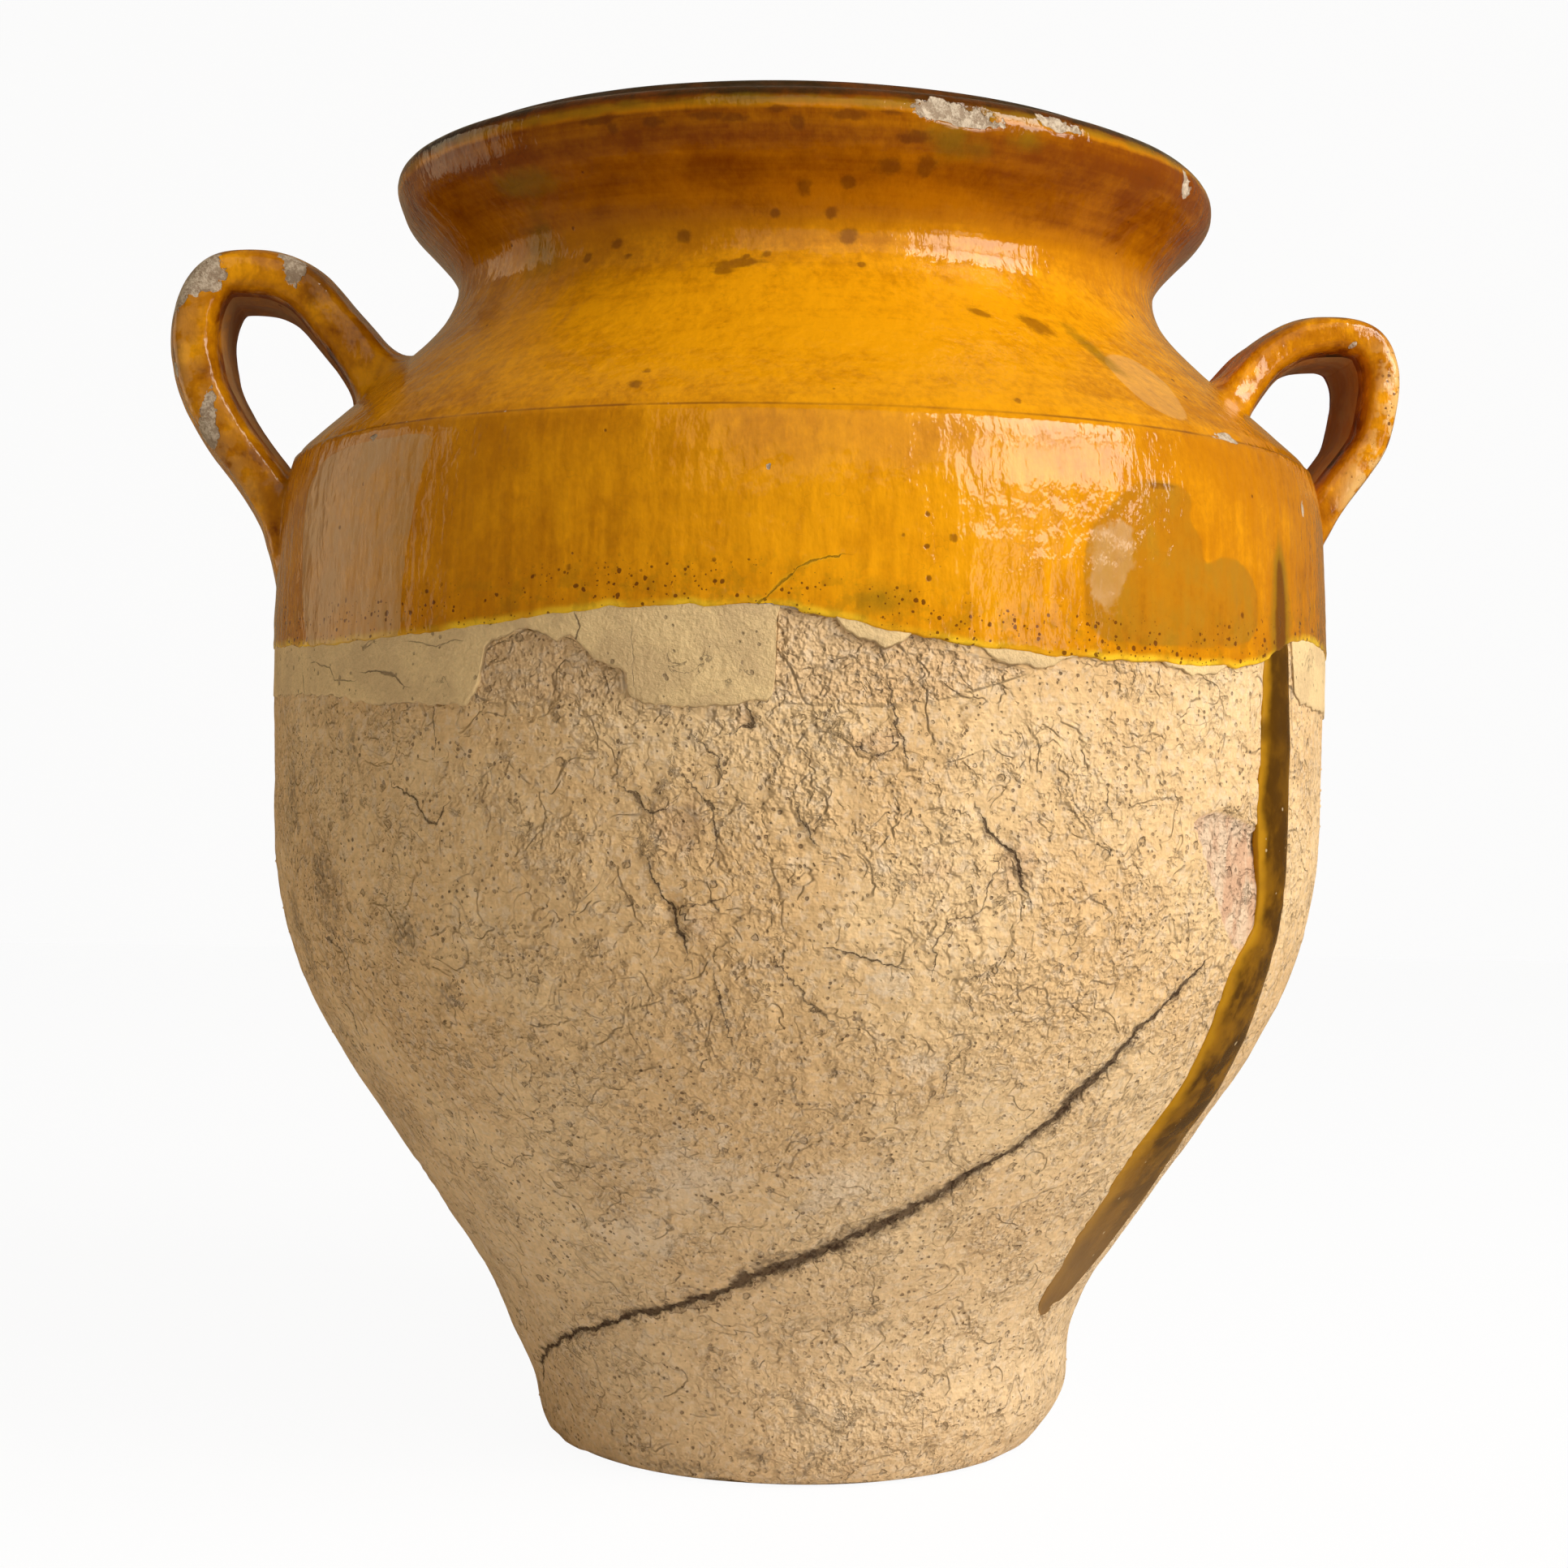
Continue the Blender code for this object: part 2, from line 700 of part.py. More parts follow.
def build_wall_cutter():
    """Solid of the clay's outside grown by the seat gap, which trims the straps' ends."""
    grown = offset_profile(outer_profile(), SEAT_GAP)
    profile = [(0.0, grown[0][1])] + grown + [(0.0, grown[-1][1])]
    cutter = add_object("wall_cutter", spin_profile(profile), None)
    hide_cutter(cutter)
    return cutter


def build_handle(strap, wall_cutter):
    """Strap handle, trimmed where it is luted to the wall."""
    handle = add_object(strap.name, strap_shape(strap, 0.0), HANDLE_GLAZE)
    cut(handle, wall_cutter)
    return handle


def build_root_cutter(strap):
    """Grown strap that opens the coats round the handle's two roots."""
    cutter = add_object(strap.name + "_cutter", strap_shape(strap, SEAT_GAP), None)
    hide_cutter(cutter)
    return cutter


def main():
    """Build the pot in the order in which it is made."""
    clear_scene()
    build_clay_body()
    slip = build_slip_coat()
    glaze = build_outer_glaze()
    build_inner_glaze()
    build_glaze_run()
    wall_cutter = build_wall_cutter()
    for strap in (LEFT_STRAP, RIGHT_STRAP):
        build_handle(strap, wall_cutter)
        root_cutter = build_root_cutter(strap)
        cut(slip, root_cutter)
        cut(glaze, root_cutter)


main()
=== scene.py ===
"""Looks of the two-handled grease pot: worn clay, pale slip, honey glaze and its long run.

Lengths are in millimetres and angles in degrees until a mesh is made, which is in metres.
Angles round the pot are counted from the front, -Y, towards the handle at +X.
"""

import logging
import math
from dataclasses import dataclass, field
from enum import Enum
from functools import reduce
from typing import Any

import bmesh
import bpy
import numpy as np
from mathutils import Matrix, Vector


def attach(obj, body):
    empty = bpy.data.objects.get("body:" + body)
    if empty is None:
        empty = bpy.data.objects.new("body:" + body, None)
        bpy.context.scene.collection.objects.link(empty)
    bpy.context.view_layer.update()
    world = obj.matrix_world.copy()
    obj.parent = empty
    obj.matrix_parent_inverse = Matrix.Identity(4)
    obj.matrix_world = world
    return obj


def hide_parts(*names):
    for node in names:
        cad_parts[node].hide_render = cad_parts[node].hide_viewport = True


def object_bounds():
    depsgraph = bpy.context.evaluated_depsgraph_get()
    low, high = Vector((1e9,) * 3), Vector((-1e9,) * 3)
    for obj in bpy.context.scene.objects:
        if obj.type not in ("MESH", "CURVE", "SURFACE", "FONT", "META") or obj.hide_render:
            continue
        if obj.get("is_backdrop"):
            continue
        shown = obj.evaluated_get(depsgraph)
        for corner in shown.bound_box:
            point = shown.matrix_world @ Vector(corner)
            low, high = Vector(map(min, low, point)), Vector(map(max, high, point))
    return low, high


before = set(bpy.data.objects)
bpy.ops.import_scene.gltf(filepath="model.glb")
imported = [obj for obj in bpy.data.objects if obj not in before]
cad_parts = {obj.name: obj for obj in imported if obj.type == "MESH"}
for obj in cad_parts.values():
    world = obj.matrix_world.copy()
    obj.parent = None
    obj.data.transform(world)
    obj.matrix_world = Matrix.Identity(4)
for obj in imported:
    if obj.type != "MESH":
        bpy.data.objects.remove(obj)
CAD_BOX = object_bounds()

MM = 0.001
VIEW_TURN = 4.2
FRONT = -VIEW_TURN
log = logging.getLogger("grease_pot")


class Root(Enum):
    """Which end of a strap handle."""

    UPPER = "upper"
    LOWER = "lower"


class Surface(Enum):
    """What the relief of a piece is like."""

    WORN = "worn"
    GLAZED = "glazed"


# Wall


def hermite(start: tuple, end: tuple, steps: int) -> list:
    """Points after start on the curve r(z) between two stations.

    Args:
        start: radius, height and lean of the lower station.
        end: the same of the upper station.
        steps: number of points.

    Returns:
        List of (radius, height).
    """
    (r0, z0, m0), (r1, z1, m1) = start, end
    t = np.arange(1, steps + 1) / steps
    h = z1 - z0
    r = r0 * (2 * t**3 - 3 * t**2 + 1) + m0 * h * (t**3 - 2 * t**2 + t)
    r += r1 * (3 * t**2 - 2 * t**3) + m1 * h * (t**3 - t**2)
    return list(zip(r, z0 + h * t))


def bezier(corners: list, steps: int) -> np.ndarray:
    """Points on a Bezier curve.

    Args:
        corners: control corners.
        steps: number of points, both ends included.

    Returns:
        Array of points.
    """
    t = np.linspace(0.0, 1.0, steps)[:, None]
    level = [np.asarray(c, float)[None, :] + 0.0 * t for c in corners]
    while len(level) > 1:
        level = [a + (b - a) * t for a, b in zip(level[:-1], level[1:])]
    return level[0]


def smooth(low: float, high: float, value: np.ndarray) -> np.ndarray:
    """Smooth step from 0 at low to 1 at high."""
    t = np.clip((value - low) / (high - low), 0.0, 1.0)
    return t * t * (3 - 2 * t)


def wiggle(angle: np.ndarray, step: float, seed: int) -> np.ndarray:
    """Smooth random curve round the pot, between -1 and 1.

    Args:
        angle: angles in degrees.
        step: degrees between its random knots.
        seed: seed of the knots.

    Returns:
        Array of values.
    """
    knots = max(4, round(360.0 / step))
    values = np.random.default_rng(seed).uniform(-1.0, 1.0, knots)
    place = (np.asarray(angle) + 180.0) / 360.0 * knots
    low = np.floor(place).astype(int)
    t = place - low
    t = t * t * (3 - 2 * t)
    return values[low % knots] * (1 - t) + values[(low + 1) % knots] * t


@dataclass(frozen=True)
class Wall:
    """Thrown wall of the pot: its outside stations as radius, height and lean."""

    foot: tuple = (53.1, 0.0, 0.80)
    heel: tuple = (60.0, 16.0, 0.25)
    cone_start: tuple = (69.7, 40.0, 0.6775)
    cone_top: tuple = (96.8, 80.0, 0.6775)
    belly_turn: tuple = (114.6, 127.5, 0.06)
    belly: tuple = (115.2, 165.0, 0.0)
    belly_top: tuple = (114.5, 190.4, -0.06)
    ridge: tuple = (111.6, 210.5, -0.34)
    shoulder_start: tuple = (110.4, 212.6, -1.08)
    shoulder_top: tuple = (85.0, 236.0, -1.0)
    neck: tuple = (77.1, 251.0, 0.0)
    flare: tuple = (86.7, 264.2, 0.95)
    bead: tuple = (90.0, 271.5, 0.0)
    land: tuple = (79.6, 279.3)
    mouth: tuple = (76.4, 279.3)
    thickness: float = 7.0
    floor: float = 9.0
    foot_lean: float = 2.5
    crest_shift: float = -2.4
    crest_drop: float = 1.0
    crest_tilt: float = 0.1
    pitch: float = 0.25

    def outside(self) -> tuple:
        """Length along the outside, radius, height and both parts of its normal, as arrays.

        Returns:
            Arrays of the same length.
        """
        spans = (
            (self.foot, self.heel, 24),
            (self.heel, self.cone_start, 30),
            (self.cone_start, self.cone_top, 40),
            (self.cone_top, self.belly_turn, 60),
            (self.belly_turn, self.belly, 30),
            (self.belly, self.belly_top, 24),
            (self.belly_top, self.ridge, 24),
        )
        points = [self.foot[:2]]
        for start, end, steps in spans:
            points += hermite(start, end, steps)
        points.append(self.shoulder_start[:2])
        points += hermite(self.shoulder_start, self.shoulder_top, 30)
        points += hermite(self.shoulder_top, self.neck, 24)
        points += hermite(self.neck, self.flare, 24)
        points += hermite(self.flare, self.bead, 16)
        turn = np.radians(np.linspace(8.0, 88.0, 12))
        centre = self.bead[0] - 3.8
        points += list(zip(centre + 3.8 * np.cos(turn), self.bead[1] + 4.3 * np.sin(turn)))
        top = points[-1]
        cove = bezier([top, (82.4, 275.9), (80.6, 278.2), self.land], 14)[1:]
        points += [tuple(p) for p in cove]
        return self.measured(np.array(points))

    def measured(self, points: np.ndarray) -> tuple:
        """Resample a profile evenly and find its normals.

        Args:
            points: array of (radius, height).

        Returns:
            Arrays: length, radius, height, normal's radius part and normal's height part.
        """
        steps = np.hypot(*np.diff(points, axis=0).T)
        length = np.concatenate([[0.0], np.cumsum(steps)])
        even = np.linspace(0.0, length[-1], int(length[-1] / self.pitch))
        r = np.interp(even, length, points[:, 0])
        z = np.interp(even, length, points[:, 1])
        dr, dz = np.gradient(r), np.gradient(z)
        size = np.hypot(dr, dz)
        return even, r, z, dz / size, -dr / size

    def inside(self) -> np.ndarray:
        """Inside of the wall as (radius, height) from the mouth down to the floor's middle.

        Returns:
            Array of points.
        """
        s, r, z, nr, nz = self.outside()
        throat = np.interp(self.neck[1], z, r) - self.thickness
        mouth = bezier([self.mouth, (75.2, 271.0), (throat, 256.0), (throat, 247.0)], 16)
        levels = np.linspace(240.0, 22.0, 60)
        low = np.interp(levels, z, r) - self.thickness * np.hypot(1.0, np.interp(levels, z, -nz / nr))
        side = np.stack([low, levels], 1)
        side[:, 0] = np.convolve(np.pad(side[:, 0], 2, mode="edge"), np.ones(5) / 5, "valid")
        turn = np.radians(np.linspace(0.0, 90.0, 10))
        corner = np.stack([side[-1, 0] - 10 * (1 - np.cos(turn)), 20.0 - 11 * np.sin(turn) + 0.4], 1)
        last = corner[-1]
        floor = np.stack([np.linspace(last[0], 0.0, 24)[1:], np.full(23, last[1])], 1)
        return np.concatenate([mouth, side, corner[1:], floor])


WALL = Wall()
S_OUT, R_OUT, Z_OUT, NR_OUT, NZ_OUT = WALL.outside()


def radius(height: np.ndarray) -> np.ndarray:
    """Outside radius of the clay at a height."""
    return np.interp(height, Z_OUT, R_OUT)


def length_at(height: np.ndarray) -> np.ndarray:
    """Length along the outside up to a height."""
    return np.interp(height, Z_OUT, S_OUT)


def warped(angle: np.ndarray, r: np.ndarray, z: np.ndarray) -> np.ndarray:
    """Points of the pot, pulled out of round as the thrown one is.

    Args:
        angle: angles from the front in degrees.
        r: radii on the true profile.
        z: heights.

    Returns:
        Array of points, last axis x, y, z, in millimetres.
    """
    turn = np.radians(angle)
    lean = WALL.foot_lean * np.sin(turn) * np.exp(-(((z - 11.0) / 9.0) ** 2))
    size = r + lean * np.clip(r / 55.0, 0.0, 1.0)
    crest = smooth(268.0, 279.5, z)
    x = size * np.sin(turn) + WALL.crest_shift * crest
    y = -size * np.cos(turn)
    drop = (WALL.crest_drop + WALL.crest_tilt * np.sin(turn)) * crest
    return np.stack([x, y, z - drop], -1)


def wrapped(angle: np.ndarray) -> np.ndarray:
    """Angles brought between -180 and 180 degrees."""
    return (angle + 180.0) % 360.0 - 180.0


def angle_of(points: np.ndarray) -> np.ndarray:
    """Angles of points from the front in degrees."""
    return np.degrees(np.arctan2(points[..., 0], -points[..., 1]))


def off_wall(along: np.ndarray, out: np.ndarray) -> tuple:
    """Radius and height at a length along the outside and a distance out from the clay."""
    r = np.interp(along, S_OUT, R_OUT) + out * np.interp(along, S_OUT, NR_OUT)
    return r, np.interp(along, S_OUT, Z_OUT) + out * np.interp(along, S_OUT, NZ_OUT)


def on_wall(angle: np.ndarray, along: np.ndarray, out: np.ndarray) -> np.ndarray:
    """Points at a length along the outside and a distance out from the clay, in millimetres."""
    return warped(angle, *off_wall(along, out))


def front_crowded(count: int, crowding: float) -> np.ndarray:
    """Angles round the pot, even at crowding 0 and dense at the photographed front towards 1."""
    t = np.arange(count) / count - 0.5
    return 360.0 * (t - crowding / math.tau * np.sin(math.tau * t)) + FRONT


@dataclass(frozen=True)
class Blob:
    """Soft oval on the wall: its middle, its half sizes and its tilt."""

    angle: float
    height: float
    half_width: float
    half_height: float
    tilt: float = 0.0


def blob_field(blobs: tuple, angle: np.ndarray, z: np.ndarray) -> np.ndarray:
    """Highest field of several blobs: 1 in a middle, 0 on an edge, -1 away from all.

    Args:
        blobs: the blobs.
        angle: angles of the points.
        z: heights of the points.

    Returns:
        Array of field values.
    """
    best = np.full(np.shape(z), -1.0)
    for blob in blobs:
        x = np.radians(wrapped(angle - blob.angle)) * radius(z)
        y = z - blob.height
        c, s = math.cos(math.radians(blob.tilt)), math.sin(math.radians(blob.tilt))
        d = np.hypot((c * x + s * y) / blob.half_width, (c * y - s * x) / blob.half_height)
        best = np.maximum(best, 1.0 - d)
    return best


@dataclass(frozen=True)
class Crack:
    """Crack in the clay as knots of angle and height, its half width and its depth."""

    knots: tuple
    half_width: float
    depth: float
    wide: tuple = ()


def crack_field(cracks: tuple, angle: np.ndarray, z: np.ndarray) -> dict:
    """Fields of the nearest crack.

    Args:
        cracks: the cracks.
        angle: angles of the points.
        z: heights of the points.

    Returns:
        Signed distance and half width in millimetres, and depth, which fades out away from it.
    """
    nearest = np.full(z.shape, 9.0)
    depth = np.zeros(z.shape)
    wide = np.ones(z.shape)
    scale = np.radians(1.0) * radius(z)
    for crack in cracks:
        knots = np.array(crack.knots, float)
        widths = np.array(crack.wide or [1.0] * len(knots)) * crack.half_width
        for (a0, z0), (a1, z1), w0, w1 in zip(knots[:-1], knots[1:], widths[:-1], widths[1:]):
            px, pz = (angle - a0) * scale, z - z0
            qx, qz = (a1 - a0) * scale, z1 - z0
            t = np.clip((px * qx + pz * qz) / (qx**2 + qz**2), 0.0, 1.0)
            d = np.hypot(px - t * qx, pz - t * qz)
            closer = d < np.abs(nearest)
            side = np.where(px * qz - pz * qx > 0, 1.0, -1.0)
            nearest = np.where(closer, side * d, nearest)
            depth = np.where(closer, crack.depth, depth)
            wide = np.where(closer, w0 + (w1 - w0) * t, wide)
    depth = depth * (1.0 - smooth(2.2, 3.4, np.abs(nearest)))
    return {"crack": np.clip(nearest, -4.0, 4.0), "crack_depth": depth, "crack_width": wide}


def rounded(knots: tuple) -> np.ndarray:
    """Closed outline with its corners cut off three times.

    Args:
        knots: outline as angle and height.

    Returns:
        Array of more knots.
    """
    ring = np.array(knots, float)
    for _ in range(3):
        after = np.roll(ring, -1, 0)
        ring = np.stack([0.75 * ring + 0.25 * after, 0.25 * ring + 0.75 * after], 1).reshape(-1, 2)
    return ring


def inside_field(knots: tuple, angle: np.ndarray, z: np.ndarray) -> np.ndarray:
    """Distance in millimetres inside a closed outline on the wall, negative outside it.

    Args:
        knots: outline as angle and height.
        angle: angles of the points.
        z: heights of the points.

    Returns:
        Array of distances.
    """
    ring = np.array(knots, float)
    scale = np.radians(1.0) * radius(z)
    nearest = np.full(z.shape, 1e3)
    within = np.zeros(z.shape, bool)
    for (a0, z0), (a1, z1) in zip(ring, np.roll(ring, -1, 0)):
        px, pz = (angle - a0) * scale, z - z0
        qx, qz = (a1 - a0) * scale, z1 - z0
        t = np.clip((px * qx + pz * qz) / (qx**2 + qz**2 + 1e-9), 0.0, 1.0)
        nearest = np.minimum(nearest, np.hypot(px - t * qx, pz - t * qz))
        if z1 != z0:
            crosses = ((z0 <= z) != (z1 <= z)) & (angle < a0 + (z - z0) / (z1 - z0) * (a1 - a0))
            within ^= crosses
    return np.where(within, nearest, -nearest)


# Node trees


Entry = Any  # a Value, a constant, the name of a mesh attribute, or None for a socket left as it is
Colour = tuple


@dataclass(frozen=True)
class Value:
    """Output socket of a node tree, which adds, subtracts and multiplies like a number."""

    net: "Net"
    socket: bpy.types.NodeSocket

    def __add__(self, other: Entry) -> "Value":
        """Sum of two numbers."""
        return self.net.math("ADD", self, other)

    def __sub__(self, other: Entry) -> "Value":
        """Difference of two numbers."""
        return self.net.math("SUBTRACT", self, other)

    def __rsub__(self, other: Entry) -> "Value":
        """A constant less the number."""
        return self.net.math("SUBTRACT", other, self)

    def __mul__(self, other: Entry) -> "Value":
        """Product of two numbers."""
        return self.net.math("MULTIPLY", self, other)

    def __abs__(self) -> "Value":
        """The number without its sign."""
        return self.net.math("ABSOLUTE", self)


@dataclass(frozen=True)
class Made:
    """Node in a net, whose outputs are read by name or place."""

    net: "Net"
    node: bpy.types.Node

    def __getitem__(self, key: str | int) -> Value:
        """One output of the node."""
        return Value(self.net, self.node.outputs[key])


class Net:
    """Short calls that add nodes to one node tree and wire them up."""

    def __init__(self, tree: bpy.types.NodeTree) -> None:
        """Take a shader or geometry node tree, and no place to read groups at yet."""
        self.tree = tree
        self.place: Entry = None

    def wire(self, value: Entry, socket: bpy.types.NodeSocket) -> None:
        """Link a value to a socket, or give the socket a constant.

        Args:
            value: what the socket gets.
            socket: input socket.
        """
        if isinstance(value, str):
            value = self.attribute(value)
        if isinstance(value, Value):
            self.tree.links.new(value.socket, socket)
        elif value is not None:
            socket.default_value = value

    def add(self, kind: str, inputs: dict | tuple = (), **settings: Any) -> Made:
        """Add a node.

        Args:
            kind: node type name.
            inputs: entries by input name or place, or one after another.
            settings: properties to set on it.

        Returns:
            The node in this net.
        """
        node = self.tree.nodes.new(kind)
        for name, value in settings.items():
            setattr(node, name, value)
        for key, value in inputs.items() if isinstance(inputs, dict) else enumerate(inputs):
            self.wire(value, node.inputs[key])
        return Made(self, node)

    def math(self, operation: str, *entries: Entry, clamp: bool = False) -> Value:
        """Result of a Math node."""
        return self.add("ShaderNodeMath", entries, operation=operation, use_clamp=clamp)[0]

    def most(self, *entries: Entry) -> Value:
        """Largest of several numbers."""
        return reduce(lambda a, b: self.math("MAXIMUM", a, b), entries)

    def vector(self, operation: str, *entries: Entry) -> Value:
        """Result of a Vector Math node."""
        return self.add("ShaderNodeVectorMath", entries, operation=operation)["Vector"]

    def scaled(self, vector: Entry, scale: Entry) -> Value:
        """Vector times a number."""
        return self.add("ShaderNodeVectorMath", {0: vector, "Scale": scale}, operation="SCALE")["Vector"]

    def mix(self, share: Entry, a: Entry, b: Entry, mode: str = "MIX") -> Value:
        """Two colours mixed, with a share of b."""
        return self.add("ShaderNodeMix", {0: share, 6: a, 7: b}, data_type="RGBA", blend_type=mode)[2]

    def blend(self, share: Entry, a: Entry, b: Entry) -> Value:
        """Two numbers mixed, with a share of b."""
        return self.add("ShaderNodeMix", {0: share, 2: a, 3: b}, data_type="FLOAT")[0]

    def step(self, value: Entry, low: Entry, high: Entry, start: Entry = 0.0, end: Entry = 1.0) -> Value:
        """Smooth step of a number, from start at low to end at high."""
        entries = (value, low, high, start, end)
        return self.add("ShaderNodeMapRange", entries, interpolation_type="SMOOTHSTEP")[0]

    def noise(
        self, vector: Entry, scale: Entry, detail: float = 3.0, rough: float = 0.55, twist: float = 0.0
    ) -> Value:
        """Noise texture read at a vector."""
        inputs = {"Vector": vector, "Scale": scale, "Detail": detail, "Roughness": rough, "Distortion": twist}
        return self.add("ShaderNodeTexNoise", inputs)[0]

    def cells(self, vector: Entry, scale: Entry, feature: str = "F1") -> Made:
        """Voronoi texture read at a vector."""
        return self.add("ShaderNodeTexVoronoi", {"Vector": vector, "Scale": scale}, feature=feature)

    def split(self, vector: Entry) -> tuple:
        """Three parts of a vector."""
        made = self.add("ShaderNodeSeparateXYZ", (vector,))
        return made[0], made[1], made[2]

    def join(self, x: Entry, y: Entry, z: Entry) -> Value:
        """Vector from three parts."""
        return self.add("ShaderNodeCombineXYZ", (x, y, z))[0]

    def attribute(self, name: str) -> Value:
        """Mesh attribute, read in a material."""
        return self.add("ShaderNodeAttribute", attribute_name=name)["Fac"]

    def group(self, tree: bpy.types.NodeTree, **inputs: Entry) -> Made:
        """Node group, with entries by socket name and the net's own place as its Vector."""
        named = {name.replace("_", " "): value for name, value in inputs.items()}
        return self.add("ShaderNodeGroup", {"Vector": self.place} | named, node_tree=tree)

    def mask(self, tree: bpy.types.NodeTree, **inputs: Entry) -> Value:
        """First output of a node group."""
        return self.group(tree, **inputs)[0]

    def crack(self, tree: bpy.types.NodeTree, **inputs: Entry) -> Made:
        """Fissure group that follows the piece's own crack attributes."""
        return self.group(tree, Distance="crack", Half_Width="crack_width", Depth="crack_depth", **inputs)

    def end(self, **results: Entry) -> bpy.types.NodeTree:
        """Close the tree with its named results."""
        self.add("NodeGroupOutput", results)
        return self.tree


def new_group(name: str, inputs: dict, outputs: tuple, kind: str = "ShaderNodeTree") -> tuple:
    """Start a node group with named sockets.

    Args:
        name: name of the group.
        inputs: socket name to default value, or to a socket type.
        outputs: names of the outputs.
        kind: tree type.

    Returns:
        Net of the group and its input node.
    """
    tree = bpy.data.node_groups.new(name, kind)
    shading = kind == "ShaderNodeTree"
    for label in outputs:
        made = "NodeSocketFloat" if shading else "NodeSocketGeometry"
        tree.interface.new_socket(label, in_out="OUTPUT", socket_type=made)
    if shading:
        inputs = {"Vector": (0.0, 0.0, 0.0)} | inputs
    else:
        inputs = {"Geometry": "NodeSocketGeometry"} | inputs | {"Material": "NodeSocketMaterial"}
    types = {tuple: "NodeSocketVector", int: "NodeSocketInt", float: "NodeSocketFloat"}
    for label, value in inputs.items():
        made = types.get(type(value), value)
        socket = tree.interface.new_socket(label, in_out="INPUT", socket_type=made)
        if made != value:
            socket.default_value = value
    net = Net(tree)
    return net, net.add("NodeGroupInput")


class Effects:
    """Shader node groups that the materials share."""

    def __init__(self) -> None:
        """Build every group once."""
        self.specks = self.make_specks()
        self.crackle = self.make_crackle()
        self.flaking = self.make_flaking()
        self.clouds = self.make_clouds()
        self.grit = self.make_grit()
        self.patch = self.make_patch()
        self.fissure = self.make_fissure()
        self.seams = self.make_seams()

    def make_specks(self) -> bpy.types.NodeTree:
        """Round specks or pits of uneven size, each in its own cell.

        Returns:
            The tree.
        """
        sockets = {"Scale": 200.0, "Radius": 0.2, "Share": 0.3, "Warp": 0.3}
        net, given = new_group("scattered_specks", sockets, ("Mask", "Tone"))
        shake = (net.noise(given["Vector"], 900.0, 2.0) - 0.5) * given["Warp"]
        made = net.cells(given["Vector"], given["Scale"])
        tone, chance, _ = net.split(made["Color"])
        size = given["Radius"] * net.blend(tone, 0.35, 1.2)
        mask = net.step(made["Distance"] + shake, size * 0.55, size, 1.0, 0.0)
        return net.end(Mask=mask * net.math("LESS_THAN", chance, given["Share"]), Tone=tone)

    def make_crackle(self) -> bpy.types.NodeTree:
        """Net of fine cracks that breaks off in places.

        Returns:
            The tree.
        """
        sockets = {"Scale": 80.0, "Width": 0.03, "Cover": 0.5, "Bend": 0.004}
        net, given = new_group("crackle", sockets, ("Mask",))
        vector, scale = given["Vector"], given["Scale"]
        bend = net.add("ShaderNodeTexNoise", {"Vector": vector, "Scale": scale * 1.6})["Color"]
        shift = net.vector("SUBTRACT", bend, (0.5, 0.5, 0.5))
        moved = net.vector("ADD", vector, net.scaled(shift, given["Bend"]))
        edge = net.cells(moved, scale, "DISTANCE_TO_EDGE")["Distance"]
        line = net.step(edge, 0.0, given["Width"], 1.0, 0.0)
        cover = 1.0 - given["Cover"]
        here = net.step(net.noise(vector, scale * 0.45, 3.0), cover, cover + 0.12)
        return net.end(Mask=line * here)

    def make_flaking(self) -> bpy.types.NodeTree:
        """Skin that has come off in flakes: the lower floor, and a dark line along its brink that is painted
        shadow of the step.

        Returns:
            The tree.
        """
        sockets = {"Scale": 60.0, "Level": 0.55, "Brink": 0.008}
        net, given = new_group("flaking", sockets, ("Floor", "Brink"))
        vector, scale, brink = given["Vector"], given["Scale"], given["Brink"]
        value = net.noise(vector, scale, 3.0, 0.5, 0.5)
        floor = net.step(value, given["Level"], given["Level"] + brink)
        # Dark line along the floor's brink, broken in places: painted shadow of the step.
        line = net.step(abs(value - (given["Level"] + brink)), 0.0, brink, 1.0, 0.0)
        broken = net.step(net.noise(vector, scale * 1.9, 2.0), 0.47, 0.56)
        return net.end(Floor=floor, Brink=line * broken)

    def make_clouds(self) -> bpy.types.NodeTree:
        """Soft mottling that can be drawn out along one axis.

        Returns:
            The tree.
        """
        sockets = {
            "Scale": 30.0, "Stretch": (1.0, 1.0, 1.0), "Low": 0.4, "High": 0.6, "Offset": (0.0, 0.0, 0.0),
        }
        net, given = new_group("clouds", sockets, ("Mask",))
        place = net.vector("ADD", net.vector("MULTIPLY", given["Vector"], given["Stretch"]), given["Offset"])
        value = net.noise(place, given["Scale"], 4.0, 0.6, 0.2)
        return net.end(Mask=net.step(value, given["Low"], given["High"]))

    def make_grit(self) -> bpy.types.NodeTree:
        """Sandy grain of fired clay as a height.

        Returns:
            The tree.
        """
        sockets = {"Coarse": 450.0, "Fine": 1500.0, "Share": 0.45}
        net, given = new_group("sandy_grain", sockets, ("Height",))
        coarse = net.noise(given["Vector"], given["Coarse"], 4.0, 0.62)
        fine = net.noise(given["Vector"], given["Fine"], 3.0, 0.7)
        return net.end(Height=net.blend(given["Share"], coarse, fine))

    def make_patch(self) -> bpy.types.NodeTree:
        """Ragged patch from a smooth field that is 0 on its outline.

        Returns:
            The tree.
        """
        sockets = {"Field": 0.0, "Scale": 300.0, "Ragged": 0.6, "Soft": 0.1}
        net, given = new_group("ragged_patch", sockets, ("Mask",))
        shake = (net.noise(given["Vector"], given["Scale"], 4.0, 0.6) - 0.5) * given["Ragged"]
        return net.end(Mask=net.step(given["Field"] + shake, 0.0, given["Soft"]))

